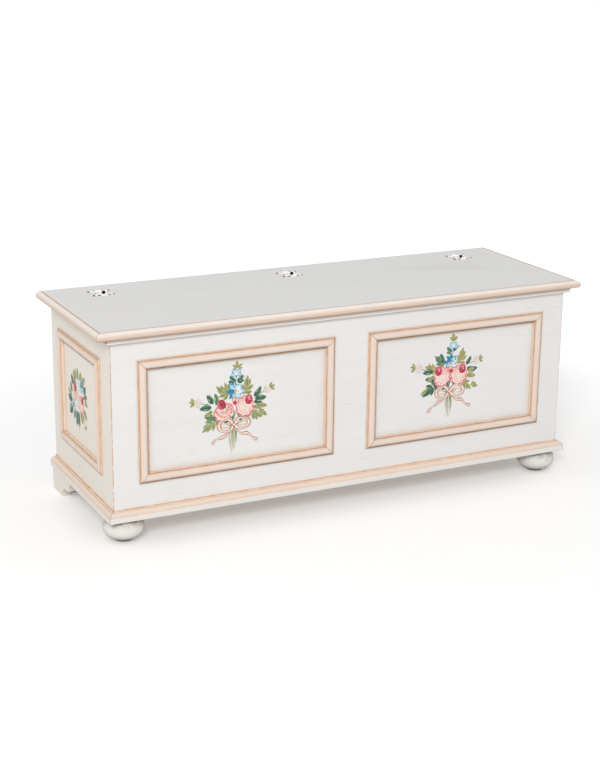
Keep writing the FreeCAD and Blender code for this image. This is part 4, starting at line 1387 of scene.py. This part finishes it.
def ringRose(bunch, u, v, size, side):
    # A full rose seen from the front: rings of pale petals round a crimson eye near its top, on
    # its right for side 1 and on its left for side -1.
    def turned(angle):
        return angle if side > 0 else 180 - angle

    for k in range(9):
        angle = 12 + 40 * k
        low = math.sin(math.radians(angle)) < 0
        petal(bunch, u, v, angle, size * (0.52 if low else 0.46), size * 0.34,
              "rose" if k % 2 or low else "coral", "pink", "blush")
    bunch.oval(u, v, size * 0.72, size * 0.70, ("blush", "blush", "pink"), 12)
    for angle, reach in folds:
        curl(bunch, u, v, turned(angle), size * reach, 17, size * 0.085, ("pink", "cream", "blush"))
        curl(bunch, u, v, turned(angle) + 9, size * (reach + 0.045), 13, size * 0.03,
             ("coral", "rose", "coral"))
    curl(bunch, u, v, turned(300), size * 0.50, 30, size * 0.06, ("rose", "rose", "pink"))
    eu, ev = u + side * size * 0.20, v + size * 0.24
    bunch.oval(eu, ev, size * 0.38, size * 0.46, ("crimson", "crimson", "rose"), 12)
    bunch.oval(eu - size * 0.005, ev - size * 0.01, size * 0.21, size * 0.26,
               ("crimson", "wine", "crimson"), 10)
    for du, dv, colour in eyeSpecks:
        bunch.dot(eu + du * size, ev + dv * size, size * 0.026, colour)
    for angle in (215, 255, 295):
        curl(bunch, eu, ev, angle, size * 0.24, 24, size * 0.06, ("blush", "cream", "pink"))


def blueBloom(bunch, u, v, size, deepSide):
    # A round flower of small petals, deep blue on one side and nearly white on the other.
    petals = 8
    for k in range(petals):
        angle = 90 + 360 * k / petals + bunch.chance.uniform(-6, 6)
        apart = abs((angle - deepSide + 180) % 360 - 180)
        reach = size * bunch.chance.uniform(0.44, 0.53)
        if apart < 60:
            edge, fill, light, wide = "blue", "blue", "deepBlue", 0.25
        elif apart < 110:
            edge, fill, light, wide = "blue", "sky", "ice", 0.33
        else:
            edge, fill, light, wide = "sky", "ice", "cream", 0.38
        petal(bunch, u, v, angle, reach, size * wide, edge, fill, light)
        curl(bunch, u, v, angle, reach * 0.80, 12, size * 0.045, (light, fill, edge))
        tip = reachPoint(u, v, angle, reach * 0.96)
        bunch.dot(tip[0], tip[1], size * 0.06, fill, edge)
    for angle in (deepSide - 140, deepSide - 180, deepSide + 140):
        curl(bunch, u, v, angle, size * 0.26, 26, size * 0.07, ("ice", "cream", "ice"))
    bunch.dot(u, v, size * 0.05, "yellow", "olive")
    for angle, reach in ((150, 0.10), (215, 0.13), (275, 0.11), (30, 0.08)):
        p = reachPoint(u, v, angle, size * reach)
        bunch.dot(p[0], p[1], size * 0.036, "ink")


def bellFlower(bunch, u, v, size):
    # A small pale bell with blue lips, facing up.
    for angle, reach, edge in ((90, 0.46, "sky"), (48, 0.50, "blue"), (132, 0.50, "blue"),
                               (2, 0.44, "sky"), (178, 0.44, "sky")):
        fill = "sky" if angle in (2, 178) else "ice"
        petal(bunch, u, v, angle, size * reach, size * 0.32, edge, fill, "ice")
    for angle in (60, 90, 120):
        bunch.stroke([(u, v - size * 0.05), reachPoint(u, v, angle, size * 0.34)], size * 0.08,
                     ("cream", "cream", "ice"), "leaf", 6)
    bunch.oval(u, v - size * 0.10, size * 0.20, size * 0.16, ("sky", "blue", "sky"), 6)


def budSpray(bunch, u, v, angle, size):
    # A thin stalk with four pale petals and three small leaves at its end.
    side = 1 if math.cos(math.radians(angle)) > 0 else -1
    base = reachPoint(u, v, angle, size * 0.42)
    bunch.stroke([(u, v), reachPoint(u, v, angle - 8 * side, size * 0.2), base], size * 0.035,
                 ("stem", "olive", "stem"), "line", 8)
    for turn, reach in ((46, 0.28), (-42, 0.28), (20, 0.36), (-14, 0.34)):
        tip = reachPoint(base[0], base[1], angle + turn, size * reach)
        bunch.stroke([base, tip], size * 0.19, ("rosyGrey", "cream", "rosyGrey"), "petal", 8)
        bunch.stroke([base, reachPoint(base[0], base[1], angle + turn, size * reach * 0.8)], size * 0.035,
                     ("ribbon", "ribbon", "pink"), "leaf", 6)
    far = reachPoint(base[0], base[1], angle, size * 0.30)
    for turn, kind in ((-48, "gold"), (48, "olive"), (0, "olive")):
        leafStroke(bunch, far[0], far[1], angle + turn, size * 0.26, size * 0.14, kind)


def ribbonBand(bunch, spine, width, steps, fold="ribbonLight"):
    # A length of ribbon: brown along both edges, pale down its middle, with a fold on one side.
    bunch.stroke(spine, width, ("ribbon", "ribbon", "ribbonDark"), "ribbon", steps)
    bunch.stroke(spine, width * 0.60, (fold, "cream", "ribbonLight"), "ribbon", steps)


ribbon = {"tailWidth": 7.8, "tailSteps": 24, "loopWidth": 10.4, "loopSteps": 32}


def ribbonBow(bunch, left, right, leftTail, rightTail):
    # Two loops, each (middle across, middle up, half width, half height), two tails and a knot.
    for tail in (leftTail, rightTail):
        ribbonBand(bunch, [(0.0, -1.0)] + list(tail), ribbon["tailWidth"], ribbon["tailSteps"], "ribbon")
        u, v = tail[-1]
        bunch.stroke([(u, v + 2.6), (u, v - 2.6)], 2.6, ("ribbonDark", "ribbon", "ribbonDark"), "leaf", 6)
    for side, (mu, mv, hu, hv) in ((-1, left), (1, right)):
        loop = [(side * 1.5, 0.0)]
        for angle in (128, 90, 46, 4, -42, -86, -126):
            a = math.radians(angle)
            loop.append((mu + side * hu * math.cos(a), mv + hv * math.sin(a)))
        loop.append((side * 1.5, -1.0))
        bunch.oval(mu, mv, hu * 1.4, hv * 0.95, ("rosyGrey", "ribbonLight", "rosyGrey"), 8)
        bunch.stroke([(mu - side * hu * 0.8, mv - hv * 0.1), (mu + side * hu * 0.1, mv + hv * 0.3)], 2.6,
                     ("green", "darkGreen", "green"), "comma", 6)
        ribbonBand(bunch, loop, ribbon["loopWidth"], ribbon["loopSteps"])
        bunch.stroke([loop[2], loop[3], loop[4]], 1.3, ("ribbonDark", "ribbonDark", "ribbon"), "leaf", 10)
    bunch.stroke([(-4.4, 0.4), (4.4, -0.6)], 8.6, ("ribbonDark", "ribbon", "ribbonDark"), "round", 8)
    bunch.stroke([(-2.6, 0.6), (3.0, 0.0)], 5.2, ("ribbonLight", "cream", "ribbonLight"), "round", 8)


# Each bunch is laid out in millimetres from its own origin: (across, up, ...), the bow's knot
# on the front panels and the bunch's middle on the side panels.
leftPlan = {
    "stems": ((-13, -47), (7, -40), (4, -50), (-3, -55), (-8, -64), (0, -60)),
    "lobed": ((-41, 15, 212, 40, "olive", "teal"), (-43, 21, 176, 26, "mixed", "darkGreen"),
              (38, 24, -34, 33, "olive", "teal"), (60, 22, -28, 23, "olive", "green"),
              (29, 62, 80, 39, "olive", "green"), (-12, 62, 140, 37, "olive", "green"),
              (-12, 66, 106, 27, "gold", "olive")),
    "leaves": ((48, 55, 50, 26, 12, "dark"), (50, 50, 0, 28, 13, "dark"), (48, 44, -12, 20, 10, "dark"),
               (50, 32, -2, 30, 12, "olive"), (46, 34, -24, 20, 9, "olive"), (-48, 50, 127, 25, 12, "dark"),
               (-40, 46, 100, 26, 11, "mixed"), (-52, 43, 182, 28, 13, "dark"),
               (-50, 36, 205, 22, 10, "olive"),
               (4, 92, 136, 18, 9, "dark"), (3, 90, 166, 16, 8, "dark"), (8, 92, 40, 19, 9, "dark"),
               (9, 90, 12, 16, 8, "dark"), (-1, 31, 266, 22, 10, "mixed"), (9, 24, 302, 16, 8, "olive"),
               (-13, 10, 214, 12, 6, "dark"), (13, 10, -40, 12, 6, "dark"), (-8, 26, 232, 16, 8, "olive"),
               (9, 120, 90, 16, 7, "gold"), (8, 120, 146, 13, 5, "gold"), (11, 120, 36, 13, 5, "gold"),
               (7, 118, 172, 9, 4, "olive"), (12, 118, 8, 9, 4, "olive")),
    "sprays": ((-58, 51, 170, 48), (56, 58, 20, 46)),
    "bell": (6.5, 106, 29),
    "blue": (3, 71, 41, 195),
    "roses": (("open", -22, 36, 50), ("ring", 26, 38, 49, 1)),
    "bow": ((-18.4, -0.5, 17, 12.5), (19.2, 1.7, 16.5, 11.5)),
    "tails": (((-9, -12), (-18, -20.5), (-32.6, -25.7), (-43, -27.5), (-51, -35)),
              ((6, -12), (17.8, -21), (29.6, -21.8), (38.5, -26.6), (46, -34), (55, -39))),
}

rightPlan = {
    "stems": ((-9, -46), (8, -44), (5, -54), (-5, -56), (-1, -62), (-11, -38)),
    "lobed": ((-36, 19, 212, 42, "dark", "deepGreen"), (-16, 60, 135, 34, "mixed", "darkGreen"),
              (-37, 50, 152, 32, "gold", "olive"), (28, 60, 80, 36, "gold", "olive"),
              (37, 21, -50, 31, "olive", "green"), (60, 12, -30, 20, "gold", "olive")),
    "leaves": ((-17, 66, 112, 24, 11, "dark"), (-44, 50, 183, 28, 13, "dark"),
               (-38, 27, 166, 28, 12, "dark"),
               (-58, 10, 216, 21, 9, "olive"), (-42, 40, 205, 18, 9, "olive"), (44, 56, 56, 22, 10, "dark"),
               (46, 48, -3, 29, 13, "dark"), (46, 33, -12, 25, 12, "gold"), (47, 41, 10, 18, 9, "olive"),
               (4, 90, 140, 17, 9, "dark"), (2, 86, 166, 13, 7, "mixed"), (8, 90, 40, 18, 9, "dark"),
               (0, 31, 264, 24, 10, "dark"), (8, 26, 300, 18, 8, "dark"), (-10, 26, 238, 17, 8, "mixed"),
               (-13, 9, 214, 12, 6, "dark"), (14, 12, 10, 14, 6, "dark"), (7, 112, 92, 19, 9, "gold"),
               (7, 114, 140, 13, 7, "gold"), (8, 114, 44, 13, 7, "gold")),
    "sprays": ((-54, 54, 167, 54), (48, 58, 12, 44)),
    "bell": (7.5, 100, 27),
    "blue": (3, 67, 36, 150),
    "roses": (("ring", -20, 37, 49, -1), ("ring", 24, 36, 50, 1)),
    "bow": ((-18.5, -0.6, 16, 13), (21, 0.4, 17, 12.5)),
    "tails": (((-8, -10), (-18, -19), (-27, -21), (-36, -27), (-46, -32), (-56, -41)),
              ((8, -12), (20, -21), (30, -21), (38, -25.5), (47, -34), (58, -39))),
}

# The hearts are dark strokes over a rose: (points, width, the colour of one edge).
sidePlan = {
    "stems": ((4, -88), (0, -78), (9, -74)),
    "leaves": ((-20, 36, 112, 30, 13, "olive"), (-10, 44, 98, 30, 12, "olive"), (2, 46, 88, 32, 13, "olive"),
               (16, 46, 66, 30, 12, "olive"), (26, 48, 80, 26, 11, "gold"), (36, 44, 42, 30, 13, "olive"),
               (38, 34, 62, 26, 11, "olive"), (-32, 26, 116, 28, 13, "dark"), (-42, 6, 112, 26, 12, "mixed"),
               (-44, -4, 158, 30, 10, "gold"), (-42, -12, 174, 30, 15, "dark"),
               (-40, -30, 222, 32, 16, "dark"),
               (-44, -26, 196, 20, 9, "olive"), (-8, -32, 262, 40, 15, "dark"),
               (5, -32, 278, 38, 14, "dark"),
               (-20, -34, 246, 28, 11, "mixed"), (18, -30, 292, 30, 13, "olive"),
               (30, -28, 300, 28, 12, "olive"),
               (42, -18, 318, 30, 13, "olive"), (50, 2, 350, 22, 10, "gold"), (42, 26, 48, 26, 14, "dark"),
               (48, 18, 10, 20, 12, "dark"), (52, 12, -30, 18, 9, "gold")),
    "sprays": ((36, -26, 298, 46),),
    "blues": ((22, 38, 36, 20), (-27, -21, 30, 200)),
    "openRose": (-16, 12, 34),
    "openCup": (-19, 27, 21, 28),
    "openHeart": ((((-24, 38), (-22, 26), (-26, 18)), 11, "rose"),),
    "ringRose": (24, -8, 47, 1),
    "ringHeart": ((((34, 8), (33, 0), (30, -8)), 12, "wine"), (((44, 16), (43, 8)), 10, "wine")),
    "dots": ((-66, 12), (62, 34), (-58, -60)),
}

# What both front bunches share: two green stalks below, a small rose in the middle and loose buds,
# with the direction in which each points.
frontShared = {
    "leafStalks": ((-1, -28), (1, -24)),
    "smallRose": (2, 47),
    "buds": ((24, 97, 58), (61, 44, 12), (66, 30, 150), (-55, 66, 100)),
}

bunchPlace = {
    "frontSize": (1.085, 1.15),
    "sideSize": (1.0, 1.0),
    "left": (-0.3087, 0.2551),
    "right": (0.2823, 0.2615),
    "side": (0.0468, 0.2867),
}


def frontBunch(name, origin, seed, plan):
    bunch = Bunch(origin, toRight, -toBack, seed, bunchPlace["frontSize"])
    for k, foot in enumerate(plan["stems"]):
        colours = ("green", "stem", "olive") if k == 1 else ("stem", "paleStem", "rosyGrey")
        bunch.stroke([(foot[0] * 0.1, 0.0), (foot[0] * 0.8, foot[1] * 0.5), (foot[0] * 0.7, foot[1])],
                     3.4, colours, "leaf", 12)
    for side, reach in frontShared["leafStalks"]:
        bunch.stroke([(0, 0), (side * 3, reach * 0.5), (side * 4, reach)], 2.6, ("green",) * 3, "comma", 8)
    for leaf in plan["lobed"]:
        lobedLeaf(bunch, *leaf)
    for leaf in plan["leaves"]:
        leafStroke(bunch, *leaf)
    for spray in plan["sprays"]:
        budSpray(bunch, *spray)
    bell = plan["bell"]
    bunch.stroke([plan["blue"][:2], bell[:2]], 1.6, ("stem", "green", "stem"), "line", 6)
    bellFlower(bunch, *bell)
    blueBloom(bunch, *plan["blue"])
    u, v = frontShared["smallRose"]
    petal(bunch, u, v, 100, 12, 10, "coral", "pink", "blush")
    roseCup(bunch, u, v, 9, 11)
    for kind, *rose in plan["roses"]:
        (openRose if kind == "open" else ringRose)(bunch, *rose)
    for u, v, angle in frontShared["buds"]:
        bunch.stroke([(u, v), reachPoint(u, v, angle, 6)], 2.6, ("coral", "pink", "coral"), "leaf", 6)
    ribbonBow(bunch, *plan["bow"], *plan["tails"])
    return bunch.finish(name)


def sideBunch(name, origin, across, outward, seed):
    plan = sidePlan

    def heart(strokes):
        for spine, width, last in strokes:
            bunch.stroke(spine, width, ("crimson", "crimson", last), "leaf", 8)

    bunch = Bunch(origin, across, outward, seed, bunchPlace["sideSize"])
    for foot in plan["stems"]:
        bunch.stroke([(foot[0] * 0.3, -40), (foot[0] * 0.8, -60), foot], 3.0,
                     ("stem", "paleStem", "ribbon"), "leaf", 8)
    for u, v, angle, length, width, kind in plan["leaves"]:
        leafStroke(bunch, u, v, angle, length, width * 1.3, kind, False)
    for spray in plan["sprays"]:
        budSpray(bunch, *spray)
    for blue in plan["blues"]:
        blueBloom(bunch, *blue)
    openRose(bunch, *plan["openRose"])
    roseCup(bunch, *plan["openCup"])
    heart(plan["openHeart"])
    ringRose(bunch, *plan["ringRose"])
    heart(plan["ringHeart"])
    for u, v in plan["dots"]:
        bunch.dot(u, v, 2.2, "coral", "pink")
    return bunch.finish(name)


def buildBunches():
    for name, plan, seed in (("left", leftPlan, 7), ("right", rightPlan, 19)):
        across, up = bunchPlace[name]
        frontBunch(f"flowers_front_{name}", Vector((across, panelFace, up)), seed, plan)
    depth, up = bunchPlace["side"]
    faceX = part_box("left_panel")[0].x
    for name, side, seed in (("left", -1, 31), ("right", 1, 43)):
        origin = Vector((-side * faceX, depth, up))
        sideBunch(f"flowers_{name}_side", origin, toBack * side, toRight * side, seed)


buildBunches()
print("flower bunches painted")


studio = {
    "floorSize": 30.0,
    "floorColour": paintChart(232, 232, 232),
    "floorRoughness": 0.9,
    "glowNear": 0.30,
    "glowFar": 0.62,
    "glowFrom": 0.7,
    "glowTo": 2.4,
    "worldStrength": 0.60,
    "softboxPower": 275.0,
    "softboxSize": 2.0,
    "softboxPlace": (-3.77, -5.81, 4.3),
    "softboxAim": (0, 0, 0.3),
    "softboxColour": (1.0, 0.99, 0.975),
}


def seenPale(tree):
    # 1 where the camera or bright metal sees the backdrop, so that only there it turns paler.
    rays = addNode(tree, "ShaderNodeLightPath").outputs
    return calc(tree, "ADD", rays["Is Camera Ray"], rays["Is Glossy Ray"], clamp=True)


def buildFloor():
    half = studio["floorSize"] / 2
    mesh = bpy.data.meshes.new("studioFloor")
    corners = [(-half, -half, 0), (half, -half, 0), (half, half, 0), (-half, half, 0)]
    mesh.from_pydata(corners, [], [(0, 1, 2, 3)])
    made, tree, shader = newMaterial("studioFloor")
    shader.inputs["Base Color"].default_value = studio["floorColour"]
    shader.inputs["Roughness"].default_value = studio["floorRoughness"]
    shader.inputs["Specular IOR Level"].default_value = 0.0
    away = lengthOf(tree, addNode(tree, "ShaderNodeTexCoord").outputs["Object"])
    glow = remap(tree, away, studio["glowFrom"], studio["glowTo"], studio["glowNear"], studio["glowFar"])
    shader.inputs["Emission Color"].default_value = (1, 1, 1, 1)
    tree.links.new(calc(tree, "MULTIPLY", seenPale(tree), glow), shader.inputs["Emission Strength"])
    mesh.materials.append(made)
    addObject("studioFloor", mesh)


def buildLight():
    world = bpy.data.worlds.new("studioWorld")
    world.use_nodes = True
    bpy.context.scene.world = world
    tree = world.node_tree
    background = tree.nodes["Background"]
    plain = studio["worldStrength"]
    strength = calc(tree, "MULTIPLY_ADD", seenPale(tree), 1.0 - plain, plain)
    background.inputs["Color"].default_value = (1, 1, 1, 1)
    tree.links.new(strength, background.inputs["Strength"])
    lamp = bpy.data.lights.new("softbox", "AREA")
    lamp.shape = "SQUARE"
    lamp.size = studio["softboxSize"]
    lamp.energy = studio["softboxPower"]
    lamp.color = studio["softboxColour"]
    softbox = addObject("softbox", lamp)
    softbox.location = studio["softboxPlace"]
    aim = Vector(studio["softboxAim"]) - softbox.location
    softbox.rotation_mode = "QUATERNION"
    softbox.rotation_quaternion = aim.to_track_quat("-Z", "Y")


# Place in metres, angles in degrees, lens and sensor in millimetres.
cameraView = {"place": (-1.729, -3.421, 1.433), "yaw": 26.33, "pitch": 17.24, "roll": 0.61,
              "lens": 72.6, "sensor": 36.0}


def buildCamera():
    yaw, pitch, roll = (math.radians(cameraView[k]) for k in ("yaw", "pitch", "roll"))
    forward = Vector((math.sin(yaw) * math.cos(pitch), math.cos(yaw) * math.cos(pitch), -math.sin(pitch)))
    level = Vector((math.cos(yaw), -math.sin(yaw), 0))
    upward = level.cross(forward)
    right = level * math.cos(roll) + upward * math.sin(roll)
    upward = right.cross(forward)
    turn = Matrix((right, upward, -forward)).transposed()
    lens = bpy.data.cameras.new("camera")
    lens.lens = cameraView["lens"]
    lens.sensor_width = cameraView["sensor"]
    camera = addObject("camera", lens)
    camera.matrix_world = Matrix.Translation(Vector(cameraView["place"])) @ turn.to_4x4()
    bpy.context.scene.camera = camera


buildFloor()
buildLight()
buildCamera()
bpy.context.scene.view_settings.view_transform = "Standard"
print("studio ready")
